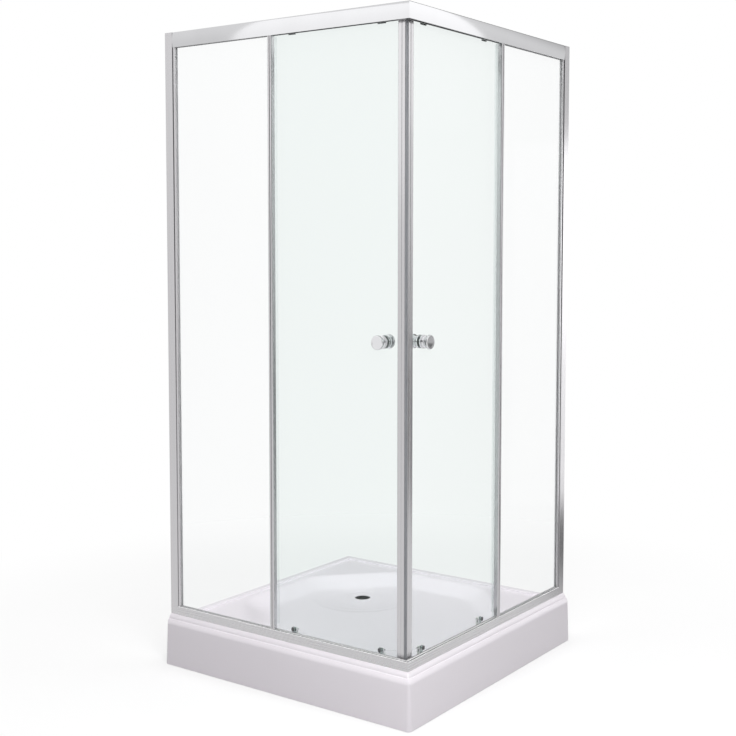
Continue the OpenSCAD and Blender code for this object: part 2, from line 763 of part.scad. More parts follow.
// Screw of a sill guide, with an upright cap on the outside of the glass; the guide's plate is its nut
module guide_screw(x) {
    rise = (guide_cap_h - guide_cap_w) / 2;
    hull() for (s = [-1, 1])
        bar(x, guide_hole_z + s * rise, door_d0 - guide_cap_t, door_d0, guide_cap_w / 2);
    bar(x, guide_hole_z, door_d0 - eps, door_d1 + guide_t, guide_screw_d / 2);
}

module clamp_bolts() {
    color("dimgray") for (x = [roller_front_x, roller_rear_x]) {
        clamp_bolt(x, hanger_hole_z, hanger_t);
        guide_screw(x);
    }
}

// Knob turned about its axis, from the washer at 0 to its face at knob_len
module knob_form() {
    r = knob_d / 2;
    rotate_extrude() polygon(concat(
        [[0, 0], [r * 0.8, 0], [r * 0.8, 3.5], [r * 0.66, 4.5], [r * 0.66, 6.5], [r * 0.78, 7.5],
         [r * 0.78, 9], [r * 0.7, 10], [r * 0.74, 13], [r * 0.86, 17], [r, 20]],
        [for (k = [0:6]) [r - knob_round * (1 - cos(k * 15)), knob_len - knob_round * (1 - sin(k * 15))]],
        [[0, knob_len]]));
}

module outer_knob() {
    color("silver") translate([knob_x, door_d0 - 1 - frame_out, knob_z]) rotate([90, 0, 0]) difference() {
        knob_form();
        translate([0, 0, -1]) cylinder(h = 19, r = knob_screw_d / 2 + screw_gap);
    }
}

// Inner knob with the fixed screw that reaches into the outer one
module inner_knob() {
    color("silver") translate([knob_x, door_d1 + 1 - frame_out, knob_z]) rotate([-90, 0, 0]) {
        knob_form();
        translate([0, 0, -glass_t - 2 - 16]) cylinder(h = glass_t + 2 + 16 + 1, d = knob_screw_d);
    }
}

module knob_washers() {
    color("whitesmoke") for (d = [door_d0 - 1, door_d1]) difference() {
        bar(knob_x, knob_z, d, d + 1, knob_d * 0.36);
        bar(knob_x, knob_z, d - 1, d + 2, knob_screw_d / 2 + 0.5);
    }
}

// Grooved roller at x, z with its axis across the face
module roller(x, z, d, bore) {
    r = d / 2;
    half = wheel_w / 2;
    color("white") translate([x, wheel_d - frame_out, z]) rotate([-90, 0, 0]) difference() {
        rotate_extrude() polygon([[0, -half], [r, -half], [r, -bead_w / 2 - 0.9],
            [r - groove_depth, -bead_w / 2 - 0.4], [r - groove_depth, bead_w / 2 + 0.4],
            [r, bead_w / 2 + 0.9], [r, half], [0, half]]);
        translate([0, 0, -half - 1]) cylinder(h = wheel_w + 2, r = bore / 2 + axle_gap);
    }
}

module head_roller(x) { roller(x, head_wheel_z, head_wheel_d, axle_d); }
module sill_roller(x) { roller(x, sill_wheel_z, sill_wheel_d, pin_d); }

// Release plunger: carriage plate with the roller's pin, shoulder, stem and button
module plunger(x) {
    c_d1 = carriage_d0 + carriage_t;
    wheel_d0 = wheel_d - wheel_w / 2;
    wheel_d1 = wheel_d + wheel_w / 2;
    color("white") {
        slab(x - carriage_w / 2, x + carriage_w / 2, carriage_d0, wheel_d0 - run_gap,
            sill_wheel_z - 4, shoulder_z + eps);
        bar(x, sill_wheel_z, c_d1 - 1, wheel_d1 + run_gap + eps, pin_d / 2);
        bar(x, sill_wheel_z, wheel_d1 + run_gap, wheel_d1 + run_gap + 1, pin_d / 2 + 1.2);
        slab(x - carriage_w / 2, x + carriage_w / 2, carriage_d0, wheel_d + 4, shoulder_z,
            shoulder_z + shoulder_h);
        translate([x, wheel_d - frame_out, shoulder_z + shoulder_h - eps])
            cylinder(h = button_z - shoulder_z - shoulder_h + 1, d = stem_d);
        translate([x, wheel_d - frame_out, button_z]) cylinder(h = button_h, d = button_d);
    }
}

// Return spring around the stem, between the shoulder and the bridge
module plunger_spring(x) {
    color("gray") translate([x, wheel_d - frame_out, shoulder_z + shoulder_h + 0.1]) difference() {
        cylinder(h = spring_len - 0.2, r = stem_d / 2 + run_gap + spring_wire);
        translate([0, 0, -1]) cylinder(h = spring_len + 2, r = stem_d / 2 + run_gap);
    }
}

tray();
tray_board();
support_tubes();
leg_studs();
leg_nuts();
leg_pads();
face("left") wall_channel();  // wall_channel_left
face("right") wall_channel();  // wall_channel_right
face("left") stile();  // stile_left
face("right") stile();  // stile_right
face("left") head_rail();  // head_rail_left
face("right") head_rail();  // head_rail_right
face("left") bottom_rail();  // bottom_rail_left
face("right") bottom_rail();  // bottom_rail_right
corner_cleats();
frame_screws();
track_stops();
face("left") fixed_glass();  // fixed_glass_left
face("right") fixed_glass();  // fixed_glass_right
pane_gaskets();
face("left") post();  // post_left
face("right") post();  // post_right
post_seals();
face("left") door_glass();  // door_glass_left
face("right") door_glass();  // door_glass_right
face("left") lead_profile();  // lead_profile_left
face("right") lead_profile();  // lead_profile_right
face("left") magnet_seal();  // magnet_seal_left
face("right") magnet_seal();  // magnet_seal_right
face("left") trailing_seal();  // trailing_seal_left
face("right") trailing_seal();  // trailing_seal_right
face("left") hangers();  // hangers_left
face("right") hangers();  // hangers_right
face("left") sill_guides();  // sill_guides_left
face("right") sill_guides();  // sill_guides_right
face("left") clamp_bolts();  // clamp_bolts_left
face("right") clamp_bolts();  // clamp_bolts_right
face("left") outer_knob();  // outer_knob_left
face("right") outer_knob();  // outer_knob_right
face("left") inner_knob();  // inner_knob_left
face("right") inner_knob();  // inner_knob_right
face("left") knob_washers();  // knob_washers_left
face("right") knob_washers();  // knob_washers_right
face("left") head_roller(roller_front_x);  // head_roller_left_front
face("left") head_roller(roller_rear_x);  // head_roller_left_rear
face("right") head_roller(roller_front_x);  // head_roller_right_front
face("right") head_roller(roller_rear_x);  // head_roller_right_rear
face("left") sill_roller(roller_front_x);  // sill_roller_left_front
face("left") sill_roller(roller_rear_x);  // sill_roller_left_rear
face("right") sill_roller(roller_front_x);  // sill_roller_right_front
face("right") sill_roller(roller_rear_x);  // sill_roller_right_rear
face("left") plunger(roller_front_x);  // plunger_left_front
face("left") plunger(roller_rear_x);  // plunger_left_rear
face("right") plunger(roller_front_x);  // plunger_right_front
face("right") plunger(roller_rear_x);  // plunger_right_rear
face("left") plunger_spring(roller_front_x);  // plunger_spring_left_front
face("left") plunger_spring(roller_rear_x);  // plunger_spring_left_rear
face("right") plunger_spring(roller_front_x);  // plunger_spring_right_front
face("right") plunger_spring(roller_rear_x);  // plunger_spring_right_rear
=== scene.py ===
import json
import math

import bmesh
import bpy
import numpy as np
from mathutils import Matrix, Vector


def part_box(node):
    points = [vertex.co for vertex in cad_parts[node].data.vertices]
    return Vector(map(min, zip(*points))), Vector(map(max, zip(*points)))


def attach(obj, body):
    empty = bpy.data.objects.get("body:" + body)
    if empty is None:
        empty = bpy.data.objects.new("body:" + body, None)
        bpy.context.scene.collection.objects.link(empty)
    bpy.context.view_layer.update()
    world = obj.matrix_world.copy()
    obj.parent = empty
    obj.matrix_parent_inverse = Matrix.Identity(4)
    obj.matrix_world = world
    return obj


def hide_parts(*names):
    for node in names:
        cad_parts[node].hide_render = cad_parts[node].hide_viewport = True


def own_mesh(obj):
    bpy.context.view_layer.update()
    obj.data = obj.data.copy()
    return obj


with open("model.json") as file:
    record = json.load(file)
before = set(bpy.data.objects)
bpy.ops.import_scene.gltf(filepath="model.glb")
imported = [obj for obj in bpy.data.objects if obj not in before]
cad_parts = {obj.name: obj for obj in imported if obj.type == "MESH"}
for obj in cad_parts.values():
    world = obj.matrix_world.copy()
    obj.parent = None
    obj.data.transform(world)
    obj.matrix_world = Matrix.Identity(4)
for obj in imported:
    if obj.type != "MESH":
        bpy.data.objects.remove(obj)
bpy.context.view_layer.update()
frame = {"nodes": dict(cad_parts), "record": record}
cadNodes = frame["nodes"]
slotOf = {part["node"]: part["material_slot"] for part in frame["record"]["subparts"]}
scene = bpy.context.scene
scene.view_settings.view_transform = "Standard"
outerPlane = -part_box("head_rail_left")[0].y     # from the middle to the left face, in metres
mm = 0.001
print("frame loaded:", len(cadNodes), "nodes")

camera = dict(place=(2.1781, -2.9391, 1.2749), turn=34.61, drop=4.0, roll=0.176, lens=58.596,
              shift=(-0.0627, -0.0584), sensor=36.0, near=0.05, far=60.0)


def linked(name, data):
    made = bpy.data.objects.new(name, data)
    scene.collection.objects.link(made)
    return made


def placeCamera():
    data = bpy.data.cameras.new("camera")
    data.lens = camera["lens"]
    data.sensor_width = camera["sensor"]
    data.shift_x, data.shift_y = camera["shift"]
    data.clip_start = camera["near"]
    data.clip_end = camera["far"]
    pose = Matrix.Translation(camera["place"])
    for degrees, axis in ((camera["turn"], "Z"), (90 - camera["drop"], "X"), (camera["roll"], "Z")):
        pose = pose @ Matrix.Rotation(math.radians(degrees), 4, axis)
    scene.camera = linked("camera", data)
    scene.camera.matrix_world = pose


placeCamera()


class Wire:
    # a socket that is written as a value in shader sums
    def __init__(self, finish, socket):
        self.finish = finish
        self.socket = socket

    def sum(self, operation, first, second):
        return self.finish.node("ShaderNodeMath", {"operation": operation}, {0: first, 1: second})

    def __add__(self, other):
        return self.sum("ADD", self, other)

    def __radd__(self, other):
        return self.sum("ADD", other, self)

    def __rsub__(self, other):
        return self.sum("SUBTRACT", other, self)

    def __mul__(self, other):
        return self.sum("MULTIPLY", self, other)

    def __rmul__(self, other):
        return self.sum("MULTIPLY", other, self)

    def __pow__(self, other):
        return self.sum("POWER", self, other)

    def over(self, other):
        return self.sum("GREATER_THAN", self, other)

    def most(self, other):
        return self.sum("MAXIMUM", self, other)


class Finish:
    # the node tree of one material, or of the world
    def __init__(self, name, world=None):
        self.owner = world or bpy.data.materials.new(name)
        self.owner.use_nodes = True
        self.tree = self.owner.node_tree
        self.tree.nodes.clear()
        kind = "ShaderNodeOutputWorld" if world else "ShaderNodeOutputMaterial"
        self.output = self.tree.nodes.new(kind)

    def node(self, kind, settings=None, values=None, out=0):
        made = self.tree.nodes.new(kind)
        for key, value in (settings or {}).items():
            setattr(made, key, value)
        for key, value in (values or {}).items():
            if isinstance(value, Wire):
                self.tree.links.new(value.socket, made.inputs[key])
            else:
                made.inputs[key].default_value = value
        return Wire(self, made.outputs[out])

    def place(self, scale=(1, 1, 1)):
        spot = self.node("ShaderNodeTexCoord", out="Object")
        return self.node("ShaderNodeMapping", None, {"Vector": spot, "Scale": scale})

    def axis(self, vector, number):
        return self.node("ShaderNodeSeparateXYZ", None, {0: vector}, out=number)

    def dot(self, vector, towards):
        return self.node("ShaderNodeVectorMath", {"operation": "DOT_PRODUCT"}, {0: vector, 1: towards}, out=1)

    def risen(self, value, start, end, low, high):
        # low up to start, high from end on, and smooth between them
        return self.node("ShaderNodeMapRange", {"interpolation_type": "SMOOTHSTEP"},
                         {0: value, 1: start, 2: end, 3: low, 4: high})

    def grain(self, scale, detail=2.0, stretch=(1, 1, 1), rough=0.5):
        return self.node("ShaderNodeTexNoise", None, {
            "Vector": self.place(stretch), "Scale": scale, "Detail": detail, "Roughness": rough})

    def cells(self, scale, stretch=(1, 1, 1)):
        # one random value for each cell
        cell = self.node("ShaderNodeTexVoronoi", {"feature": "F1"},
                         {"Vector": self.place(stretch), "Scale": scale}, out="Color")
        return self.axis(cell, 0)

    def blendColours(self, share, first, second):
        return self.node("ShaderNodeMix", {"data_type": "RGBA"}, {0: share, 6: first, 7: second}, out=2)

    def blendShaders(self, share, first, second):
        return self.node("ShaderNodeMixShader", None, {0: share, 1: first, 2: second})

    def relief(self, height, strength, distance):
        return self.node("ShaderNodeBump", None, {
            "Height": height, "Strength": strength, "Distance": distance})

    def principled(self, values):
        return self.node("ShaderNodeBsdfPrincipled", None, values)

    def film(self, tint):
        return self.node("ShaderNodeBsdfTransparent", None, {"Color": tinted(tint)})

    def glow(self, strength):
        return self.node("ShaderNodeEmission", None, {"Color": (1, 1, 1, 1), "Strength": strength})

    def ray(self, kind):
        return self.node("ShaderNodeLightPath", out=kind)

    def seenRay(self):
        # rays that come straight from the camera, also through glass
        return self.ray("Is Camera Ray").most(self.ray("Is Transmission Ray"))

    def show(self, shader):
        self.tree.links.new(shader.socket, self.output.inputs["Surface"])
        return self.owner


def tinted(tint, value=1.0):
    return tuple(min(1.0, value * t) for t in tint) + (1.0,)


# Finishes: their colours and roughness follow procedural patterns in object coordinates.
acrylic = dict(dark=(0.865, 0.822, 0.872), light=(0.895, 0.852, 0.9), clouds=3.0, peel=240.0, rough=0.16,
               roughClouds=0.10, peelDepth=0.0002, shine=0.25, coat=0.1, coatRough=0.05)


def whiteAcrylic():
    a = acrylic
    f = Finish("white acrylic")
    cloud = f.grain(a["clouds"], detail=3.0)
    peel = f.grain(a["peel"], detail=1.0)
    return f.show(f.principled({
        "Base Color": f.blendColours(cloud, tinted(a["dark"]), tinted(a["light"])),
        "Roughness": a["rough"] + cloud * a["roughClouds"],
        "Normal": f.relief(peel, strength=0.06, distance=a["peelDepth"]),
        "Specular IOR Level": a["shine"], "Coat Weight": a["coat"], "Coat Roughness": a["coatRough"]}))


drawn = dict(tint=(0.99, 0.975, 1.0), dark=0.92, light=1.07, scaleAlong=4.0, scaleAcross=700.0, clouds=9.0,
             roughLess=0.03, roughLines=0.06, roughClouds=0.03, lineDepth=0.0001)
# painted light: the insides of the bottom rails get a light grey, not metallic finish, so their deep trough
# shows painted light where shade falls
troughPaintedLight = dict(depth=0.0003, below=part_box("bottom_rail_left")[1].z - 0.0004, grey=(0.94,) * 3)


def troughPaintedLightFaces(f, along):
    # 1 inside a bottom rail that runs along x or y, where painted light goes: a light grey, not metallic
    # finish that stands in for light in the deep trough, which would otherwise render in shade; 0 on its
    # outer faces
    spot = f.place()
    depth = f.axis(spot, 1) + outerPlane if along == "x" else outerPlane - f.axis(spot, 0)
    return depth.over(troughPaintedLight["depth"]) * (1.0 - f.axis(spot, 2).over(troughPaintedLight["below"]))


def satinAluminium(name, along, base, rough):
    # drawn lines run along the bar: x, y or z; only the bottom rails run along x or y
    d = drawn
    f = Finish(name)
    stretch = tuple(d["scaleAlong"] if axis == along else d["scaleAcross"] for axis in "xyz")
    lines = f.grain(1.0, detail=3.0, stretch=stretch, rough=0.6)
    cloud = f.grain(d["clouds"])
    colour = f.blendColours(lines, tinted(d["tint"], base * d["dark"]), tinted(d["tint"], base * d["light"]))
    paintedLightShare = 0.0
    # painted light inside the bottom rails' trough: light grey and not metallic, in place of the shade there
    if along != "z":
        paintedLightShare = troughPaintedLightFaces(f, along)
        colour = f.blendColours(paintedLightShare, colour, tinted(troughPaintedLight["grey"]))
    return f.show(f.principled({
        "Base Color": colour, "Metallic": 1.0 - paintedLightShare,
        "Roughness": rough - d["roughLess"] + lines * d["roughLines"] + cloud * d["roughClouds"],
        "Normal": f.relief(lines, strength=0.05, distance=d["lineDepth"])}))


polish = dict(tint=(0.98, 0.98, 1.0), dark=0.96, light=1.03, smears=14.0, stretch=(1, 1, 0.4), waves=5.0,
              roughSmears=0.04, waveDepth=0.0003)


def polished(name, base, rough):
    p = polish
    f = Finish(name)
    smear = f.grain(p["smears"], detail=4.0, stretch=p["stretch"])
    wave = f.grain(p["waves"], detail=1.0)
    colour = f.blendColours(smear, tinted(p["tint"], base * p["dark"]), tinted(p["tint"], base * p["light"]))
    return f.show(f.principled({
        "Base Color": colour, "Metallic": 1.0, "Roughness": rough + smear * p["roughSmears"],
        "Normal": f.relief(wave, strength=0.02, distance=p["waveDepth"])}))


pane = dict(body=(0.93, 0.97, 0.96), edge=(0.62, 0.76, 0.72), edgeFrom=0.8, edgeShare=0.45, haze=1.6,
            rough=0.03, roughHaze=0.03, roughEdge=0.2, sheen=0.02, sheenHaze=0.03, sheenFlat=0.5,
            sheenPower=5.0)


def clearPane(name, across, tint):
    # across is the number of the axis through the pane; its ground edges are greener and less clear
    p = pane
    f = Finish(name)
    facing = f.axis(f.node("ShaderNodeNewGeometry", out="Normal"), across)
    edge = 1.0 - (facing * facing).over(p["edgeFrom"])
    haze = f.grain(p["haze"])
    body = f.principled({
        "Base Color": f.blendColours(edge, tinted(p["body"]), tinted(p["edge"])),
        "Roughness": p["rough"] + haze * p["roughHaze"] + edge * p["roughEdge"]})
    # the sheen rises at a flat angle, the same from both sides of a face
    slant = f.node("ShaderNodeLayerWeight", None, {"Blend": 0.5}, out="Facing")
    sheen = p["sheen"] + haze * p["sheenHaze"] + p["sheenFlat"] * slant ** p["sheenPower"]
    return f.show(f.blendShaders(sheen.most(edge * p["edgeShare"]), f.film(tint), body))


plastic = dict(dark=0.86, light=1.08, specks=900.0, clouds=20.0, roughSpecks=0.12, speckDepth=0.0002,
               film=(0.975, 0.985, 0.985), clearClouds=0.05)


def soft(name, colour, rough, clear=0.0):
    p = plastic
    f = Finish(name)
    speck = f.grain(p["specks"])
    cloud = f.grain(p["clouds"])
    solid = f.principled({
        "Base Color": f.blendColours(cloud, tinted(colour, p["dark"]), tinted(colour, p["light"])),
        "Roughness": rough + speck * p["roughSpecks"],
        "Normal": f.relief(speck, strength=0.12, distance=p["speckDepth"])})
    if not clear:
        return f.show(solid)
    return f.show(f.blendShaders(1.0 - clear + cloud * p["clearClouds"], f.film(p["film"]), solid))


zinc = dict(dark=(0.46, 0.47, 0.48), light=(0.62, 0.63, 0.64), patches=180.0, rough=0.30, roughPatches=0.12)


def zincSteel():
    z = zinc
    f = Finish("zinc plated steel")
    patch = f.cells(z["patches"])
    return f.show(f.principled({
        "Base Color": f.blendColours(patch, tinted(z["dark"]), tinted(z["light"])),
        "Metallic": 1.0, "Roughness": z["rough"] + patch * z["roughPatches"]}))


board = dict(dark=(0.40, 0.28, 0.17), light=(0.66, 0.50, 0.33), chips=260.0, stretch=(1, 1, 3), dust=900.0,
             rough=0.75, roughDust=0.15, chipDepth=0.0006)


def particleBoard():
    b = board
    f = Finish("particle board")
    chips = f.cells(b["chips"], b["stretch"])
    dust = f.grain(b["dust"], detail=3.0)
    return f.show(f.principled({
        "Base Color": f.blendColours(chips, tinted(b["dark"]), tinted(b["light"])),
        "Roughness": b["rough"] + dust * b["roughDust"],
        "Normal": f.relief(chips + dust, strength=0.25, distance=b["chipDepth"])}))


finishes = {
    "acrylic": whiteAcrylic(),
    "satin x": satinAluminium("satin aluminium along x", "x", base=0.60, rough=0.26),
    "satin y": satinAluminium("satin aluminium along y", "y", base=0.60, rough=0.26),
    "satin_aluminium": satinAluminium("satin aluminium upright", "z", base=0.60, rough=0.22),
    "bright_rail": polished("polished rail", base=0.62, rough=0.05),
    "chrome": polished("chrome plate", base=0.80, rough=0.03),
    "fixed left": clearPane("fixed pane across y", 1, (0.993, 0.996, 0.996)),
    "fixed right": clearPane("fixed pane across x", 0, (0.993, 0.996, 0.996)),
    "door left": clearPane("door pane across y", 1, (0.944, 0.966, 0.960)),
    "door right": clearPane("door pane across x", 0, (0.956, 0.974, 0.969)),
    "dark_gasket": soft("pale rubber", (0.68, 0.68, 0.69), rough=0.55),
    "soft_pvc": soft("clear soft seal", (0.86, 0.89, 0.90), rough=0.3, clear=0.93),
    "magnet": soft("magnet seal", (0.30, 0.31, 0.33), rough=0.4),
    "nylon": soft("white nylon", (0.78, 0.78, 0.76), rough=0.38),
    "dark_nylon": soft("dark nylon", (0.13, 0.13, 0.135), rough=0.42),
    "zinc_steel": zincSteel(),
    "board": particleBoard(),
}
print("finishes made:", len(finishes))


def finishFor(node):
    words = node.split("_")
    return finishes[words[0] + " " + words[-1] if slotOf[node] == "pane" else slotOf[node]]


# Making pieces from points, faces and the CAD nodes.
def evaluated(piece):
    # the plain mesh that the piece's modifiers give
    return bpy.data.meshes.new_from_object(piece.evaluated_get(bpy.context.evaluated_depsgraph_get()))


def keepPiece(node, mesh, body, finish=None, smooth=38.0, name=None):
    name = name or node + "_piece"
    piece = linked(name, mesh)
    mesh.materials.clear()
    mesh.materials.append(finish or finishFor(node))
    mesh.shade_smooth()
    mesh.set_sharp_from_angle(angle=math.radians(smooth))
    # flat faces keep flat shading next to their rounded edges
    piece.modifiers.new("even", "WEIGHTED_NORMAL").keep_sharp = True
    piece.data = evaluated(piece)
    piece.data.name = name
    piece.modifiers.clear()
    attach(piece, body)
    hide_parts(node)
    return piece


def meshFrom(name, points, faces):
    mesh = bpy.data.meshes.new(name)
    mesh.from_pydata([tuple(p) for p in points], [], [tuple(f) for f in faces])
    work = bmesh.new()
    work.from_mesh(mesh)
    bmesh.ops.remove_doubles(work, verts=work.verts, dist=1e-6)
    bmesh.ops.recalc_face_normals(work, faces=work.faces)
    work.to_mesh(mesh)
    work.free()
    return mesh


def keepForm(node, form, body, **more):
    # a form is its points and faces
    return keepPiece(node, meshFrom(node + "_piece", *form), body, **more)


def applied(name, mesh, kind, settings, inputs=None):
    # runs one modifier on a throwaway object and hands back the plain mesh
    holder = linked(name, mesh)
    modifier = holder.modifiers.new(kind, kind)
    for key, value in settings.items():
        setattr(modifier, key, value)
    for key, value in (inputs or {}).items():
        modifier[key] = value
    done = evaluated(holder)
    bpy.data.objects.remove(holder)
    done.name = name
    return done


def moved(form, matrix):
    return [tuple(matrix @ Vector(p)) for p in form[0]], form[1]


def onSide(form, side):
    # the left face is drawn; the right one is its mirror image in the corner's mitre plane
    return form if side == "left" else ([(-y, -x, z) for x, y, z in form[0]], form[1])


def joined(forms):
    points, faces = [], []
    for morePoints, moreFaces in forms:
        faces += [tuple(i + len(points) for i in f) for f in moreFaces]
        points += morePoints
    return points, faces


def sizesOf(node):
    # x from and to, depth from and to, z from and to of a left node, in millimetres
    low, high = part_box(node)
    return [v / mm for v in (low.x, high.x, low.y + outerPlane, high.y + outerPlane, low.z, high.z)]


def roundedOutline(corners, steps=4):
    # corners are (a, b) or (a, b, radius) in millimetres
    outline = []
    count = len(corners)
    for i, corner in enumerate(corners):
        here = Vector(corner[:2])
        radius = corner[2] if len(corner) > 2 else 0.0
        if not radius:
            outline.append(here)
            continue
        before = (Vector(corners[i - 1][:2]) - here).normalized()
        after = (Vector(corners[(i + 1) % count][:2]) - here).normalized()
        half = before.angle(after) / 2
        run = radius / math.tan(half)
        centre = here + (before + after).normalized() * (radius / math.sin(half))
        first = here + before * run - centre
        last = here + after * run - centre
        sweep = first.angle_signed(last)
        for k in range(steps + 1):
            outline.append(centre + Matrix.Rotation(-sweep * k / steps, 2) @ first)
    return [p * mm for p in outline]


def barFaces(count):
    # the sides and the two ends between two outlines of count points each
    faces = [(i, (i + 1) % count, (i + 1) % count + count, i + count) for i in range(count)]
    return faces + [tuple(range(count)), tuple(range(count, 2 * count))]


def mitredBar(outline, start):
    # outline is (depth, height); the bar runs along x up to the mitre plane of the corner
    near = [(start, p[0] - outerPlane, p[1]) for p in outline]
    far = [(outerPlane - p[0], p[0] - outerPlane, p[1]) for p in outline]
    return near + far, barFaces(len(outline))


def turned(profile, steps=48):
    # profile is (radius, height) in millimetres round z; a zero radius closes the form
    points, faces, rings = [], [], []
    for radius, height in profile:
        if radius == 0:
            rings.append([len(points)])
            points.append((0.0, 0.0, height * mm))
        else:
            rings.append(list(range(len(points), len(points) + steps)))
            points += [(radius * mm * math.cos(2 * math.pi * k / steps),
                        radius * mm * math.sin(2 * math.pi * k / steps), height * mm) for k in range(steps)]
    for low, high in zip(rings, rings[1:]):
        for k in range(steps):
            n = (k + 1) % steps
            corners = [low[k % len(low)], low[n % len(low)], high[n % len(high)], high[k % len(high)]]
            faces.append(tuple(dict.fromkeys(corners)))
    return points, faces


inward = Matrix.Rotation(math.radians(-90), 4, "X")    # z becomes depth, into the cabin
outward = Matrix.Rotation(math.radians(90), 4, "X")
sideways = Matrix.Rotation(math.radians(90), 4, "Y")

edges = dict(segments=2, arris=35.0, weld=2e-6, flat=0.6)     # angles in degrees
# how wide the edges of the copied CAD forms are rounded, in millimetres
edgeWidths = dict(wall_channel=0.4, stile=0.8, fixed_glass=0.6, door_glass=0.6, magnet_seal=0.8,
                  trailing_seal=0.3, hangers=0.4, sill_guides=0.4, clamp_bolts=0.6, knob_washers=0.2,
                  plunger=0.5, pane_gaskets=0.3, post_seals=0.3, track_stops=0.5, corner_cleats=0.3)


def soften(kind, body, ending="", finish=None):
    # a copy of the CAD node with its flat faces joined again and its edges rounded
    node = kind + ending
    mesh = cadNodes[node].data.copy()
    work = bmesh.new()
    work.from_mesh(mesh)
    bmesh.ops.remove_doubles(work, verts=work.verts, dist=edges["weld"])
    bmesh.ops.dissolve_limit(work, angle_limit=math.radians(edges["flat"]), use_dissolve_boundaries=False,
                             verts=work.verts, edges=work.edges, delimit=set())
    work.to_mesh(mesh)
    work.free()
    mesh = applied(node + "_piece", mesh, "BEVEL", dict(
        width=edgeWidths[kind] * mm, segments=edges["segments"], limit_method="ANGLE",
        angle_limit=math.radians(edges["arris"]), use_clamp_overlap=True))
    keepPiece(node, mesh, body, finish)


# The tray shell, in millimetres: the kerb's flank and the ledge slope, with a crease between them.
tray = dict(edge=445.5, foot=450.0, ledge=131.0, kerbOut=436.5, kerbIn=375.0, kerbTop=150.0, rimTop=136.0,
            rimWidth=24.0, wallEdge=395.5, kerbEdge=372.0, cornerCut=215.0, cornerRound=120.0, slope=62.0,
            slopeLeast=20.0, floorCutLess=40.0, floor=104.0, wasteFloor=97.0, floorBlend=5.0, ledgeBlend=3.5,
            wasteX=-176.0, wasteY=176.0, wasteHole=25.0, wasteLip=3.0, wasteLipDrop=2.4, recess=58.0,
            ringFade=24.0, ringReach=82.0, shell=4.0, cornerRadius=7.0, lip=1.6, kerbRound=5.5,
            plinthRound=6.0, rimRound=4.0, crease=138.5, skirtTop=122.0, kerbSlope=8.5, creaseDepth=1.6,
            creaseWidth=2.0, footGap=0.3, dishRadius=(168.0, 138.0), dishDrop=(1.1, 0.7), dishWidth=9.0,
            dishEnd=90.0, dishFade=45.0, basinMargin=4.0, notchHalf=40.0, notchTop=65.0, skirtRings=9,
            skirtSpread=0.9)

# distances of the grid's lines from the tray's bends, closer where the form turns
gridSteps = dict(
    cell=7.0, wallStart=30, kerbEnd=4, onKerb=(14, 9, 6), least=0.09,
    wall=(0, 0.12, 0.45, 1.0, 1.8, 2.7, 3.5, 5.2, 7.0, 12, 17, 19.6),
    rim=(0, 0.1, 0.5, 1.2, 2.2, 3.2, 4.0),
    kerbIn=(-3, -1.5, 0, 0.15, 0.6, 1.4, 2.6, 4.0, 5.5, 9),
    kerbOut=(8.5, 7.7, 6.9, 6.0, 4.0, 2.0, 0.6, 0, -0.6, -2.2),
    outside=(0, 0.12, 0.45, 1.0, 1.8, 2.7, 3.5, 5.2, 7.0),
    waste=(25, 25.4, 26.2, 27.2, 28.2, 31, 36, 43, 50, 58, 66, 74, 82, 12, 40, 40.3))


def smoothLeast(a, b, k):
    h = np.maximum(k - np.abs(a - b), 0) / k
    return np.minimum(a, b) - h * h * k / 4


def quarter(t):
    # rises like a quarter of a circle
    t = np.clip(t, 0, 1)
    return np.sqrt(1 - (1 - t) ** 2)


def crowned(t):
    # a slope that is a little rounded
    return np.clip(t, 0, 1) * 0.65 + quarter(t) * 0.35


def eased(t):
    t = np.clip(t, 0, 1)
    return t * t * (3 - 2 * t)


def insideBasin(x, y, half, cut):
    # distance inwards from a square outline with cut and rounded corners
    shift = (tray["kerbEdge"] - tray["wallEdge"]) / 2
    radius = tray["cornerRound"]
    px, py = np.abs(x - shift), np.abs(y + shift)
    inner = half - radius
    step = cut - radius * (2 - math.sqrt(2))
    near = inner - step
    # the eight-sided core, by its kinds of edge
    a = px - inner
    b = py - inner
    c = (px + py - inner - near) / math.sqrt(2)
    insideCore = np.maximum(np.maximum(a, b), c)
    alongX = np.hypot(px - inner, np.maximum(py - near, 0))
    alongY = np.hypot(np.maximum(px - near, 0), py - inner)
    t = np.clip((py - near - px + inner) / (2 * step), 0, 1)
    alongCut = np.hypot(px - (inner - t * step), py - (near + t * step))
    outside = np.minimum(np.minimum(alongX, alongY), alongCut)
    outside = np.where((py <= near) & (px > inner), px - inner, outside)
    outside = np.where((px <= near) & (py > inner), py - inner, outside)
    return radius - np.where(insideCore <= 0, insideCore, outside)


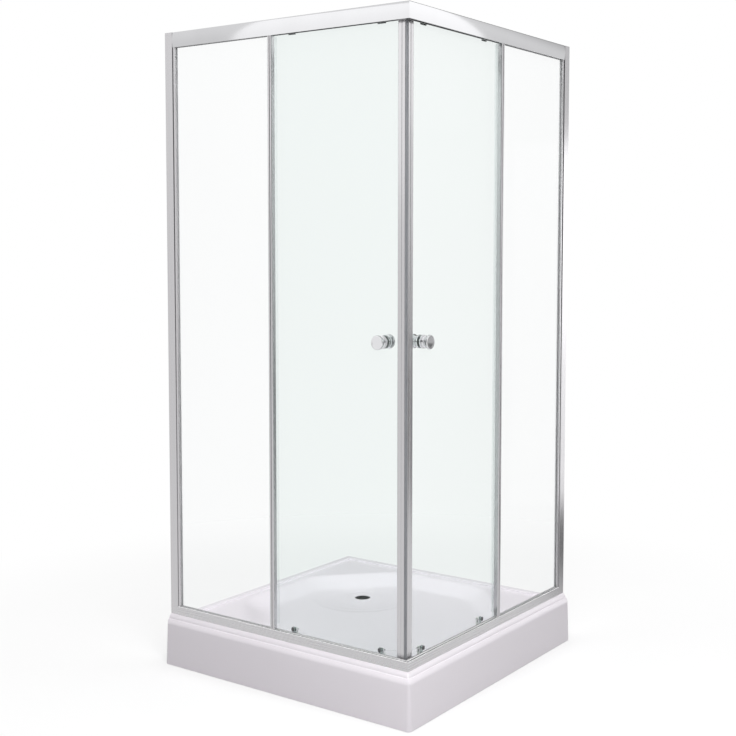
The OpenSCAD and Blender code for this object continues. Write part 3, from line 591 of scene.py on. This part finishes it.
def trayHeight(x, y, fromEdge):
    t = tray
    half = (t["wallEdge"] + t["kerbEdge"]) / 2
    # distances inwards from the outer foot of the kerb, rounded at its corner, and from its inner foot
    a, b = t["kerbOut"] - x, y + t["kerbOut"]
    r = t["plinthRound"]
    rounded = r - np.hypot(np.maximum(r - a, 0), np.maximum(r - b, 0))
    outer = np.where((a < r) & (b < r), rounded, np.minimum(a, b))
    inner = np.maximum(x - t["kerbIn"], -t["kerbIn"] - y)
    flank = t["crease"] + (t["kerbTop"] - t["crease"]) * crowned(outer / t["kerbSlope"])
    back = t["ledge"] + (t["kerbTop"] - t["ledge"]) * quarter(inner / t["kerbRound"])
    kerb = np.where((outer > 0) & (inner > 0), np.minimum(flank, back) - t["ledge"], 0)
    fromSkirt = np.clip(np.minimum(t["edge"] - x, t["edge"] + y) / (t["edge"] - t["kerbOut"]), 0, 1)
    ledge = t["skirtTop"] + (t["crease"] - t["skirtTop"]) * crowned(fromSkirt)
    kerb = np.where(outer <= 0, ledge - t["ledge"], kerb)
    kerb = kerb - t["creaseDepth"] * np.clip(1 - np.abs(outer) / t["creaseWidth"], 0, 1)
    # low rim at the walls
    wall = np.minimum(x + t["edge"], t["edge"] - y)
    rim = (t["rimTop"] - t["ledge"]) * quarter((t["rimWidth"] - wall) / t["rimRound"])
    top = t["ledge"] + np.where(outer <= 0, kerb, np.maximum(kerb, rim))
    # basin: slope, floor that falls to the waste, shallow dish rings
    edgeIn = insideBasin(x, y, half, t["cornerCut"])
    floorIn = insideBasin(x, y, half - t["slope"], t["cornerCut"] - t["floorCutLess"])
    fromWaste = np.hypot(x - t["wasteX"], y - t["wasteY"])
    width = np.maximum(edgeIn - floorIn, t["slopeLeast"])
    slope = t["ledge"] - (t["ledge"] - t["floor"]) * edgeIn / width
    fall = floorIn / np.maximum(floorIn + np.maximum(fromWaste - t["recess"], 0), 1.0)
    floor = t["floor"] - (t["floor"] - t["wasteFloor"]) * np.clip(fall, -0.5, 1)
    for radius, drop in zip(t["dishRadius"], t["dishDrop"]):
        inRing = eased((radius - fromWaste) / t["dishWidth"])
        floor = floor - drop * inRing * (1 - eased((t["dishEnd"] - fromWaste) / t["dishFade"]))
    basin = -smoothLeast(-slope, -floor, t["floorBlend"])
    basin = smoothLeast(basin, t["ledge"] + 0 * x, t["ledgeBlend"])
    top = np.where(edgeIn > -t["basinMargin"], np.minimum(top, np.maximum(basin, top * (inner > 0))), top)
    # rounded lip of the waste hole and of the tray's edge
    lip = 1 - quarter((fromWaste - t["wasteHole"]) / t["wasteLip"])
    top = top - t["wasteLipDrop"] * lip * (fromWaste < t["recess"])
    return top - t["lip"] * (1 - quarter(fromEdge / t["lip"]))


def trayLines():
    # where the grid's lines cross the x axis
    t, g = tray, gridSteps
    e = t["edge"]
    kerbFrom, kerbTo, kerbCount = g["onKerb"]
    lines = list(np.arange(-e + g["wallStart"], t["kerbIn"] - g["kerbEnd"], g["cell"]))
    lines += list(np.linspace(t["kerbIn"] + kerbFrom, t["kerbOut"] - kerbTo, kerbCount))
    lines += [-e + d for d in g["wall"]]
    lines += [-e + t["rimWidth"] - d for d in g["rim"]]
    lines += [t["kerbIn"] + d for d in g["kerbIn"]]
    lines += [t["kerbOut"] - d for d in g["kerbOut"]]
    lines += [e - d for d in g["outside"]]
    lines += [t["wasteX"] + s * d for d in g["waste"] for s in (-1, 1)] + [t["wasteX"]]
    lines = sorted(set(round(float(v), 3) for v in lines))
    kept = [lines[0]]
    for v in lines[1:]:
        if v - kept[-1] > g["least"]:
            kept.append(v)
    return np.array(kept)


def roundedGrid(gx, gy):
    # moves the square grid's points, and hands back how many millimetres each is from the waste's middle
    t = tray
    # the tray's corners: square steps become arcs
    straight = t["edge"] - t["cornerRadius"]
    qx, qy = np.abs(gx) - straight, np.abs(gy) - straight
    corner = (qx > 0) & (qy > 0)
    stretch = np.where(corner, np.maximum(qx, qy) / np.maximum(np.hypot(qx, qy), 1e-9), 1)
    px = np.where(corner, np.sign(gx) * (straight + qx * stretch), gx)
    py = np.where(corner, np.sign(gy) * (straight + qy * stretch), gy)
    # rings round the waste, which turn square again further out
    wx, wy = gx - t["wasteX"], gy - t["wasteY"]
    ring = np.maximum(np.abs(wx), np.abs(wy))
    near = ring < t["ringReach"]
    pull = np.where(near, 1 - eased((ring - t["recess"]) / t["ringFade"]), 0)
    stretch = np.where(ring > 0.01, ring / np.maximum(np.hypot(wx, wy), 1e-9), 1)
    stretch = 1 + (stretch - 1) * pull
    px = np.where(near, t["wasteX"] + wx * stretch, px)
    py = np.where(near, t["wasteY"] + wy * stretch, py)
    return px, py, ring


def awayAt(p):
    # level, away from the tray's edge
    straight = tray["edge"] - tray["cornerRadius"]
    away = np.array([np.sign(v) * max(abs(v) - straight, 0) for v in p[:2]])
    return away / max(np.hypot(*away), 1e-9)


def skirtFoot(p, away):
    # height of the skirt's lower edge, which rises round the two pipe notches in the wall sides
    t = tray
    across = None
    if away[0] < -0.99:
        across = p[1] - t["wasteY"]
    elif away[1] > 0.99:
        across = p[0] - t["wasteX"]
    if across is None or abs(across) > t["notchHalf"]:
        return t["footGap"]
    return t["notchTop"] - t["notchHalf"] + math.sqrt(max(t["notchHalf"] ** 2 - across ** 2, 0))


def addSkirt(points, faces, rim):
    # the grid's rim goes down in rings and leans out
    t = tray
    rimPoints = [np.array(points[k]) for k in rim]
    aways = [awayAt(p) for p in rimPoints]
    feet = [skirtFoot(p, away) for p, away in zip(rimPoints, aways)]
    previous = rim
    for k in range(1, t["skirtRings"] + 1):
        share = (k / t["skirtRings"]) ** t["skirtSpread"]
        now = []
        for p, away, low in zip(rimPoints, aways, feet):
            z = p[2] + (low - p[2]) * share
            lean = (t["ledge"] - min(z, t["ledge"])) / t["ledge"] * (t["foot"] - t["edge"])
            now.append(len(points))
            points.append(np.array([p[0] + away[0] * lean, p[1] + away[1] * lean, z]))
        for m in range(len(rim)):
            n = (m + 1) % len(rim)
            faces.append((previous[m], now[m], now[n], previous[n]))
        previous = now


def buildTray():
    t = tray
    xs = trayLines()
    ys = -xs[::-1]
    gx, gy = np.meshgrid(xs, ys, indexing="ij")
    fromEdge = t["edge"] - np.maximum(np.abs(gx), np.abs(gy))
    px, py, ring = roundedGrid(gx, gy)
    pz = trayHeight(px, py, fromEdge)
    nx, ny = len(xs), len(ys)
    index = np.arange(nx * ny).reshape(nx, ny)
    points = list(np.stack([px, py, pz], -1).reshape(-1, 3))
    faces = [(index[i, j], index[i + 1, j], index[i + 1, j + 1], index[i, j + 1])
             for i in range(nx - 1) for j in range(ny - 1)
             if ring[i:i + 2, j:j + 2].max() > t["wasteHole"] + 0.05]
    addSkirt(points, faces, [*index[:, 0], *index[-1, 1:], *index[-2::-1, -1], *index[0, -2:0:-1]])
    mesh = meshFrom("tray_shell", [p * mm for p in points], faces)
    mesh = applied("tray_shell", mesh, "SOLIDIFY", dict(thickness=t["shell"] * mm, offset=-1.0, use_rim=True))
    keepPiece("tray", mesh, "frame", smooth=32.0, name="tray_shell")
    print("tray:", len(mesh.polygons), "faces")


buildTray()


# Rails, mitred at the corner. Their outlines are (depth, height), in millimetres.
rails = dict(deep=46.0, skin=1.8, slotFrom=5.5, slotTo=12.5, hollowFrom=16.0, finFrom=37.9, finTo=40.1,
             finBevel=0.5, finShoulder=0.8)
headRail = dict(height=44.0, bow=1.2, bowSteps=10, slotTop=24.0, shelf=10.0, shelfFrom=37.0, fin=17.4)
bottomRail = dict(height=26.0, slotFloor=12.0, fin=6.0, backLip=6.0)


def railFin(foot, top):
    # the fin that the grooved rollers run on
    r = rails
    shoulder = top - r["finShoulder"]
    return [(r["finFrom"], foot), (r["finFrom"], shoulder), (r["finFrom"] + r["finBevel"], top),
            (r["finTo"] - r["finBevel"], top), (r["finTo"], shoulder), (r["finTo"], foot)]


def headOutline():
    r, h = rails, headRail
    z = sizesOf("head_rail_left")[4]
    top = z + h["height"]
    shelf = z + h["shelf"]
    floor = shelf + r["skin"]
    back = r["deep"] - r["skin"]
    ceiling = top - r["skin"]
    slot = z + h["slotTop"]
    shares = [k / h["bowSteps"] for k in range(1, h["bowSteps"])]
    face = [(h["bow"] * (2 * u - 1) ** 2, z + u * h["height"]) for u in shares]
    return roundedOutline([
        (h["bow"], z, 0.8), *face, (h["bow"], top, 1.8), (r["deep"], top, 2.0), (r["deep"], shelf, 0.5),
        (h["shelfFrom"], shelf, 0.5), (h["shelfFrom"], floor), *railFin(floor, z + h["fin"]),
        (back, floor), (back, ceiling), (r["hollowFrom"], ceiling), (r["hollowFrom"], z, 0.5),
        (r["slotTo"], z, 0.3), (r["slotTo"], slot), (r["slotFrom"], slot), (r["slotFrom"], z, 0.3)])


def bottomOutline():
    r, h = rails, bottomRail
    z = sizesOf("bottom_rail_left")[4]
    top = z + h["height"]
    slot = z + h["slotFloor"]
    floor = z + r["skin"]
    back = r["deep"] - r["skin"]
    lip = z + h["backLip"]
    return roundedOutline([
        (0, z), (0, top, 2.4), (r["slotFrom"], top, 0.4), (r["slotFrom"], slot), (r["slotTo"], slot),
        (r["slotTo"], top, 0.4), (r["hollowFrom"], top, 0.8), (r["hollowFrom"], floor),
        *railFin(floor, z + h["fin"]), (back, floor), (back, lip, 0.3), (r["deep"], lip, 0.6),
        (r["deep"], z)])


def buildRails(side):
    satin = finishes["satin x" if side == "left" else "satin y"]
    for kind, outline, finish in (("head", headOutline(), None), ("bottom", bottomOutline(), satin)):
        bar = mitredBar(outline, sizesOf(kind + "_rail_left")[0] * mm)
        keepForm(kind + "_rail_" + side, onSide(bar, side), "frame", finish=finish)


def buildUpright(kind, body, side, corners):
    # an upright bar as tall as its CAD node; corners are (x, depth, radius)
    outline = roundedOutline(corners)
    points = [(p[0], p[1] - outerPlane, z * mm) for z in sizesOf(kind + "_left")[4:] for p in outline]
    keepForm(kind + "_" + side, onSide((points, barFaces(len(outline))), side), body)


def groove(bar, x, depth):
    # the corners of a shallow groove in an upright bar's front, with leaning walls
    lean, floor = bar["grooveLean"], depth + bar["grooveDeep"]
    start = x + bar["grooveAt"]
    end = start + bar["grooveWide"]
    return [(start, depth, 0.5), (start + lean, floor), (end - lean, floor), (end, depth, 0.5)]


# The posts on the free edges of the fixed panes.
postBar = dict(grooveAt=5.4, grooveWide=3.2, grooveDeep=2.2, grooveLean=0.4, pocketFrom=5.5, pocketTo=12.5,
               wall=1.8)


def buildPost(side):
    p = postBar
    x0, x1, d0, d1 = sizesOf("post_left")[:4]
    end = x1 - p["wall"]
    buildUpright("post", "frame", side, [
        (x0, d0, 1.6), *groove(p, x0, d0), (x1, d0, 2.6), (x1, d1, 0.8), (x0, d1, 0.5),
        (x0, p["pocketTo"], 0.3), (end, p["pocketTo"]), (end, p["pocketFrom"]), (x0, p["pocketFrom"], 0.3)])


# The profiles on the doors' meeting edges.
leadBar = dict(grooveAt=12.0, grooveWide=2.2, grooveDeep=0.9, grooveLean=0.7, slotFrom=25.3, slotTo=30.7,
               slotDeep=7.8)


def buildLead(side):
    b = leadBar
    x0, x1, d0, d1 = sizesOf("lead_profile_left")[:4]
    foot = x0 + b["slotDeep"]
    buildUpright("lead_profile", "door_" + side, side, [
        (x0, d0, 2.2), *groove(b, x0, d0), (x1, d0, 0.6), (x1 - (d1 - d0), d1, 0.4), (x0, d1, 2.0),
        (x0, b["slotTo"], 0.3), (foot, b["slotTo"]), (foot, b["slotFrom"]), (x0, b["slotFrom"], 0.3)])


# Door fittings, in millimetres.
knob = dict(steps=64, screwRadius=3.0, screwReach=23.0, screwStart=0.4, screwSteps=24, profile=[
    (0, 0), (17.4, 0), (18.0, 0.6), (18.0, 3.0), (17.4, 3.5), (15.6, 3.8), (15.0, 4.5), (15.6, 5.2),
    (17.0, 5.5), (17.5, 6.2), (17.0, 7.0), (15.3, 7.3), (14.7, 8.0), (15.3, 8.7), (16.2, 9.0), (16.6, 9.7),
    (16.0, 10.4), (14.8, 10.9), (14.3, 12.0), (14.4, 13.4), (15.2, 15.4), (16.6, 17.4), (18.2, 19.2),
    (18.9, 20.2), (19.0, 21.0), (19.0, 23.8), (18.6, 24.9), (17.8, 25.7), (16.8, 26.0), (13.6, 25.9),
    (13.2, 25.5), (12.8, 25.5), (0, 25.7)])


def buildKnobs(side):
    k = knob
    x0, x1, outerEnd, outerBase, low, high = sizesOf("outer_knob_left")
    innerBase = sizesOf("inner_knob_left")[3] - (outerBase - outerEnd)
    grip = turned(k["profile"], k["steps"])
    # the screw that joins the two knobs through the glass
    r, foot, top = k["screwRadius"], -k["screwReach"], k["screwStart"]
    screw = turned([(0, foot), (r, foot), (r, top), (0, top)], k["screwSteps"])
    for kind, depth, turn, form in (("outer_knob_", outerBase, outward, grip),
                                    ("inner_knob_", innerBase, inward, joined([grip, screw]))):
        spot = Matrix.Translation(((x0 + x1) / 2 * mm, depth * mm - outerPlane, (low + high) / 2 * mm))
        keepForm(kind + side, onSide(moved(form, spot @ turn), side), "door_" + side)


wheel = dict(half=3.0, grooveHalf=1.1, groove=1.8, grooveSlope=0.5, tyreWall=0.4, hubWall=0.9, webSunk=0.7,
             rimWide=1.1, bevel=0.2, shoulder=0.3, steps=40, headBore=2.6, sillBore=2.1)


def buildWheel(node, bore, side):
    # a grooved tyre with a recessed web and a hub on both faces, in its CAD node's box
    w = wheel
    low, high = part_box(node)
    radius = (high.z - low.z) / 2 / mm
    hub = bore + w["hubWall"]
    half = w["half"]
    web = half - w["webSunk"]
    grooveFoot = w["grooveHalf"] + w["tyreWall"]
    face = [(bore, half), (hub, half), (hub + w["bevel"], half - w["bevel"]), (hub + 2 * w["bevel"], web),
            (radius - w["rimWide"] - w["bevel"], web), (radius - w["rimWide"], half),
            (radius - w["shoulder"], half), (radius, half - w["shoulder"]),
            (radius, grooveFoot + w["grooveSlope"]), (radius - w["groove"], grooveFoot)]
    form = turned(face + [(r, -h) for r, h in face[::-1]] + [face[0]], w["steps"])
    across = inward if side == "left" else sideways
    keepForm(node, moved(form, Matrix.Translation((low + high) / 2) @ across), node)


# Geometry node trees for what repeats: the coil of a spring, and a pattern on points.
def startTree(name, inputs):
    tree = bpy.data.node_groups.new(name, "GeometryNodeTree")
    for label, kind in inputs:
        tree.interface.new_socket(label, in_out="INPUT", socket_type="NodeSocket" + kind)
    tree.interface.new_socket("Finish", in_out="INPUT", socket_type="NodeSocketMaterial")
    tree.interface.new_socket("Geometry", in_out="OUTPUT", socket_type="NodeSocketGeometry")
    return tree, tree.nodes.new("NodeGroupInput")


def endTree(tree, start, geometry):
    # real geometry with its finish
    real = tree.nodes.new("GeometryNodeRealizeInstances")
    paint = tree.nodes.new("GeometryNodeSetMaterial")
    end = tree.nodes.new("NodeGroupOutput")
    tree.links.new(geometry, real.inputs[0])
    tree.links.new(real.outputs[0], paint.inputs["Geometry"])
    tree.links.new(start.outputs["Finish"], paint.inputs["Material"])
    tree.links.new(paint.outputs[0], end.inputs[0])
    return tree


# squashed is the share of a spring's length that is left at the full lift
spring = dict(wire=0.45, turns=4.0, steps=20, wireSteps=8, squashed=0.47)


def springTree():
    # a coil of round wire round z
    tree, start = startTree("coilSpring", [(label, "Float") for label in (
        "Coil Radius", "Wire Radius", "Turns", "Height")])
    spiral = tree.nodes.new("GeometryNodeCurveSpiral")
    spiral.inputs["Resolution"].default_value = spring["steps"]
    for label, socket in (("Turns", "Rotations"), ("Coil Radius", "Start Radius"),
                          ("Coil Radius", "End Radius"), ("Height", "Height")):
        tree.links.new(start.outputs[label], spiral.inputs[socket])
    circle = tree.nodes.new("GeometryNodeCurvePrimitiveCircle")
    circle.inputs["Resolution"].default_value = spring["wireSteps"]
    tree.links.new(start.outputs["Wire Radius"], circle.inputs["Radius"])
    sweep = tree.nodes.new("GeometryNodeCurveToMesh")
    sweep.inputs["Fill Caps"].default_value = True
    tree.links.new(spiral.outputs[0], sweep.inputs["Curve"])
    tree.links.new(circle.outputs[0], sweep.inputs["Profile Curve"])
    return endTree(tree, start, sweep.outputs[0])


def patternTree():
    # sets a pattern piece on every point, turned by the point's own "turn"
    tree, start = startTree("patternOnPoints", [("Points", "Geometry"), ("Pattern", "Object")])
    info = tree.nodes.new("GeometryNodeObjectInfo")
    tree.links.new(start.outputs["Pattern"], info.inputs["Object"])
    turn = tree.nodes.new("GeometryNodeInputNamedAttribute")
    turn.data_type = "FLOAT_VECTOR"
    turn.inputs["Name"].default_value = "turn"
    spread = tree.nodes.new("GeometryNodeInstanceOnPoints")
    tree.links.new(start.outputs["Points"], spread.inputs["Points"])
    tree.links.new(info.outputs["Geometry"], spread.inputs["Instance"])
    tree.links.new(turn.outputs["Attribute"], spread.inputs["Rotation"])
    return endTree(tree, start, spread.outputs[0])


def fromTree(name, tree, mesh, inputs):
    # the form that the tree makes
    named = {item.name: item.identifier for item in tree.interface.items_tree if item.in_out == "INPUT"}
    inputs = {named[key]: value for key, value in inputs.items()}
    made = applied(name, mesh, "NODES", {"node_group": tree}, inputs)
    return [tuple(v.co) for v in made.vertices], [tuple(p.vertices) for p in made.polygons]


coilTree = springTree()
spotTree = patternTree()


def buildSpring(node, side):
    low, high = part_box(node)
    wire = spring["wire"] * mm
    coil = fromTree(node, coilTree, bpy.data.meshes.new(node), {
        "Coil Radius": (high.x - low.x) / 2 - wire, "Wire Radius": wire, "Turns": spring["turns"],
        "Height": high.z - low.z - 2 * wire, "Finish": finishes["zinc_steel"]})
    middle = Vector(((low.x + high.x) / 2, (low.y + high.y) / 2, low.z + wire))
    piece = keepForm(node, moved(coil, Matrix.Translation(middle)), "door_" + side, smooth=60)
    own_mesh(piece)


def repeated(name, form, spots):
    # spots are (place, turn) in metres and radians; the result is one form
    shape = linked(name + "_pattern", meshFrom(name + "_pattern", *form))
    mesh = bpy.data.meshes.new(name)
    mesh.from_pydata([place for place, turn in spots], [], [])
    turns = mesh.attributes.new("turn", "FLOAT_VECTOR", "POINT")
    turns.data.foreach_set("vector", [v for place, turn in spots for v in turn])
    done = fromTree(name, spotTree, mesh, {"Pattern": shape, "Finish": finishes["zinc_steel"]})
    bpy.data.objects.remove(shape)
    return done


# Screws and nuts, in millimetres; heads are drawn in shares of their radius and height.
panScrew = dict(radius=4.0, height=2.2, shank=2.0, length=5.8, seat=0, head=[
    (1, 0), (1, 0.45), (0.86, 0.78), (0.6, 1), (0.34, 1), (0.22, 0.55), (0, 0.4)])
flatScrew = dict(radius=3.75, height=1.8, shank=2.0, length=3.8, seat=-1, head=[
    (1, 0), (0.4, 0), (0.25, -0.5), (0, -0.6)], shorterThan=4.5)
nuts = dict(across=18.0, height=9.0, bore=6.05, chamfer=0.93, chamferShare=0.12)


def screwForm(screw):
    # a head with a recess on its shank, pointing up z
    shank, foot = screw["shank"], -screw["length"]
    shaft = [(0, foot), (shank, foot), (shank, screw["seat"] * screw["height"])]
    return turned(shaft + [(screw["radius"] * r, screw["height"] * h) for r, h in screw["head"]], steps=20)


def looseParts(node):
    # the box of every separate solid in a CAD node
    work = bmesh.new()
    work.from_mesh(cadNodes[node].data)
    bmesh.ops.remove_doubles(work, verts=work.verts, dist=edges["weld"])
    left, boxes = set(work.verts), []
    while left:
        stack, seen = [left.pop()], []
        while stack:
            v = stack.pop()
            seen.append(v.co.copy())
            near = left & {edge.other_vert(v) for edge in v.link_edges}
            left -= near
            stack += near
        co = np.array(seen)
        boxes.append((Vector(co.min(0)), Vector(co.max(0))))
    work.free()
    return boxes


def placeScrews():
    # flat heads look up; pan heads look into the cabin, along y on the left and along x on the right
    pans, flats = [], []
    head = panScrew["height"] * mm
    for low, high in looseParts("frame_screws"):
        middle = (low + high) / 2
        if high.z - low.z < flatScrew["shorterThan"] * mm:
            flats.append(((middle.x, middle.y, high.z), (0.0, 0.0, 0.0)))
        elif abs(middle.x) > abs(middle.y):
            pans.append(((middle.x, high.y - head, middle.z), (-math.pi / 2, 0.0, 0.0)))
        else:
            pans.append(((low.x + head, middle.y, middle.z), (0.0, -math.pi / 2, 0.0)))
    keepForm("frame_screws", joined([repeated("stile_screws", screwForm(panScrew), pans),
                                     repeated("cleat_screws", screwForm(flatScrew), flats)]), "frame")
    print("screws:", len(pans), "pan heads,", len(flats), "flat heads")


def hexNut():
    # a six-sided nut whose corners are turned off at both ends; every second point is a corner
    n = nuts
    reach = n["across"] / 2 / math.cos(math.pi / 6)
    angles = [math.pi * k / 6 for k in range(12)]
    levels = [(0, n["chamfer"]), (n["height"] * n["chamferShare"], 1.0),
              (n["height"] * (1 - n["chamferShare"]), 1.0), (n["height"], n["chamfer"])]
    points = []
    for z, grow in levels:
        for k, a in enumerate(angles):
            r = min(reach if k % 2 == 0 else n["across"] / 2, reach * grow)
            points.append((r * math.cos(a) * mm, r * math.sin(a) * mm, z * mm))
    for z in (n["height"], 0):
        points += [(n["bore"] * math.cos(a) * mm, n["bore"] * math.sin(a) * mm, z * mm) for a in angles]
    rings = [range(start, start + 12) for start in range(0, len(points), 12)]
    faces = [(a[k], a[(k + 1) % 12], b[(k + 1) % 12], b[k])
             for a, b in zip(rings, rings[1:] + rings[:1]) for k in range(12)]
    return points, faces


def placeNuts():
    spots = []
    for low, high in looseParts("leg_nuts"):
        middle = (low + high) / 2
        spots.append(((middle.x, middle.y, low.z), (0.0, 0.0, 0.0)))
    keepForm("leg_nuts", repeated("leg_nuts_piece", hexNut(), spots), "frame")
    print("leg nuts:", len(spots))


def buildSide(side):
    door = "door_" + side
    buildRails(side)
    buildPost(side)
    for kind in ("wall_channel", "stile"):
        soften(kind, "frame", "_" + side)
    buildLead(side)
    buildKnobs(side)
    soften("fixed_glass", "frame", "_" + side)
    soften("door_glass", door, "_" + side)
    soften("magnet_seal", door, "_" + side, finishes["magnet"])
    for kind in ("trailing_seal", "hangers", "sill_guides", "clamp_bolts", "knob_washers"):
        soften(kind, door, "_" + side)
    for end in ("front", "rear"):
        ending = side + "_" + end
        buildWheel("head_roller_" + ending, wheel["headBore"], side)
        buildWheel("sill_roller_" + ending, wheel["sillBore"], side)
        soften("plunger", "plunger_" + ending, "_" + ending)
        buildSpring("plunger_spring_" + ending, side)
    print(side, "side built")


for side in ("left", "right"):
    buildSide(side)
for node in ("pane_gaskets", "post_seals", "track_stops", "corner_cleats"):
    soften(node, "frame")
placeScrews()
placeNuts()
# these four keep the CAD's own form
for node in ("tray_board", "support_tubes", "leg_studs", "leg_pads"):
    for slot in cadNodes[node].material_slots:
        slot.material = finishFor(node)


# Room and light.
room = dict(floorGrey=(0.46, 0.48), floorGlow=0.48, farFrom=0.6, farTo=1.9, footprint=0.44, floorReach=9.0,
            floorDrop=0.0005, behind=(-0.57, 0.82, 0), behindFrom=0.1, behindTo=0.7, mirroredFront=0.95,
            mirroredBehind=0.18, skyDiffuse=0.24, lowSky=0.95, highSky=1.06, skyFrom=0.02, skyTo=0.30)
# dark parts of the room that only the metal mirrors, by direction and the cosines of their edge and core
darkParts = [dict(towards=(0.60, -0.80, 0.05), edge=0.80, core=0.93, share=0.80),
             dict(towards=(0.546, 0.833, -0.085), edge=0.992, core=0.997, share=0.48),
             dict(towards=(-0.17, 0.94, 0.30), edge=0.76, core=0.90, share=0.82)]


def floorFinish():
    r = room
    f = Finish("pale floor")
    spot = f.place()
    away = f.node("ShaderNodeVectorMath", {"operation": "LENGTH"}, {0: spot}, out=1)
    across = [f.node("ShaderNodeMath", {"operation": "ABSOLUTE"}, {0: f.axis(spot, axis)}) for axis in (0, 1)]
    clear = across[0].most(across[1]).over(r["footprint"])      # 0 under the tray
    dark, light = (tinted((1, 1, 1), value) for value in r["floorGrey"])
    dull = f.node("ShaderNodeBsdfDiffuse", None, {"Color": f.blendColours(f.grain(2.0), dark, light)})
    # seen by the camera: lit and shaded near the object, plain white further off
    lit = f.node("ShaderNodeAddShader", None, {0: dull, 1: f.glow(f.seenRay() * r["floorGlow"] * clear)})
    far = f.risen(away, r["farFrom"], r["farTo"], 0.0, 1.0) * f.seenRay()
    seen = f.blendShaders(far, lit, f.glow(1.0))
    # mirrored by the metal: darker behind the object
    behind = f.risen(f.dot(spot, r["behind"]), r["behindFrom"], r["behindTo"], r["mirroredFront"],
                     r["mirroredBehind"])
    return f.show(f.blendShaders(f.ray("Is Glossy Ray"), seen, f.glow(clear * behind)))


def buildFloor():
    reach, z = room["floorReach"], -room["floorDrop"]
    mesh = bpy.data.meshes.new("floor")
    mesh.from_pydata([(-reach, -reach, z), (reach, -reach, z), (reach, reach, z), (-reach, reach, z)], [],
                     [(0, 1, 2, 3)])
    mesh.materials.append(floorFinish())
    linked("floor", mesh)


def buildSky():
    r = room
    world = bpy.data.worlds.new("room")
    scene.world = world
    w = Finish("room", world)
    gloss = w.ray("Is Glossy Ray")
    ray = w.node("ShaderNodeTexCoord", out="Generated")
    mirrored = w.risen(w.axis(ray, 2), r["skyFrom"], r["skyTo"], r["lowSky"], r["highSky"])
    for part in darkParts:
        towards = w.dot(ray, part["towards"])
        mirrored = mirrored * w.risen(towards, part["edge"], part["core"], 1.0, 1.0 - part["share"])
    strength = (r["skyDiffuse"] * (1.0 - gloss) + gloss * mirrored).most(w.seenRay())
    w.show(w.node("ShaderNodeBackground", None, {"Color": (1, 1, 1, 1), "Strength": strength}))


lamps = [
    dict(name="top", place=(0.2, -0.2, 4.0), towards=(0, 0, -1), size=(3.6, 3.6), power=142, mirrored=False),
    dict(name="front", place=(2.1, -2.1, 2.5), towards=(-0.5, 0.5, -0.707), size=(1.5, 1.5), power=49,
         mirrored=False),
    dict(name="near corner", place=(1.15, -1.15, 0.55), towards=(-0.69, 0.69, -0.25), size=(0.8, 0.6),
         power=1.2, mirrored=False),
    dict(name="left band", place=(-1.454, -2.513, 2.15), towards=(0.6225, 0.7826, 0), size=(0.935, 1.3),
         power=1.7, mirrored=True),
    dict(name="right band", place=(1.771, 1.618, 2.3), towards=(-0.559, -0.829, 0), size=(0.46, 1.0),
         power=0.8, mirrored=True),
    dict(name="right side", place=(1.27, 2.19, 0.87), towards=(-0.53, -0.85, 0), size=(0.6, 1.74), power=4.4,
         mirrored=True),
]


def placeLamps():
    for lamp in lamps:
        data = bpy.data.lights.new(lamp["name"], "AREA")
        data.shape = "RECTANGLE"
        data.size, data.size_y = lamp["size"]
        data.energy = lamp["power"]
        made = linked(lamp["name"], data)
        made.location = lamp["place"]
        made.rotation_euler = Vector(lamp["towards"]).to_track_quat("-Z", "Y").to_euler()
        made.visible_camera = False
        made.visible_glossy = lamp["mirrored"]


buildFloor()
buildSky()
placeLamps()
print("room and lamps placed")
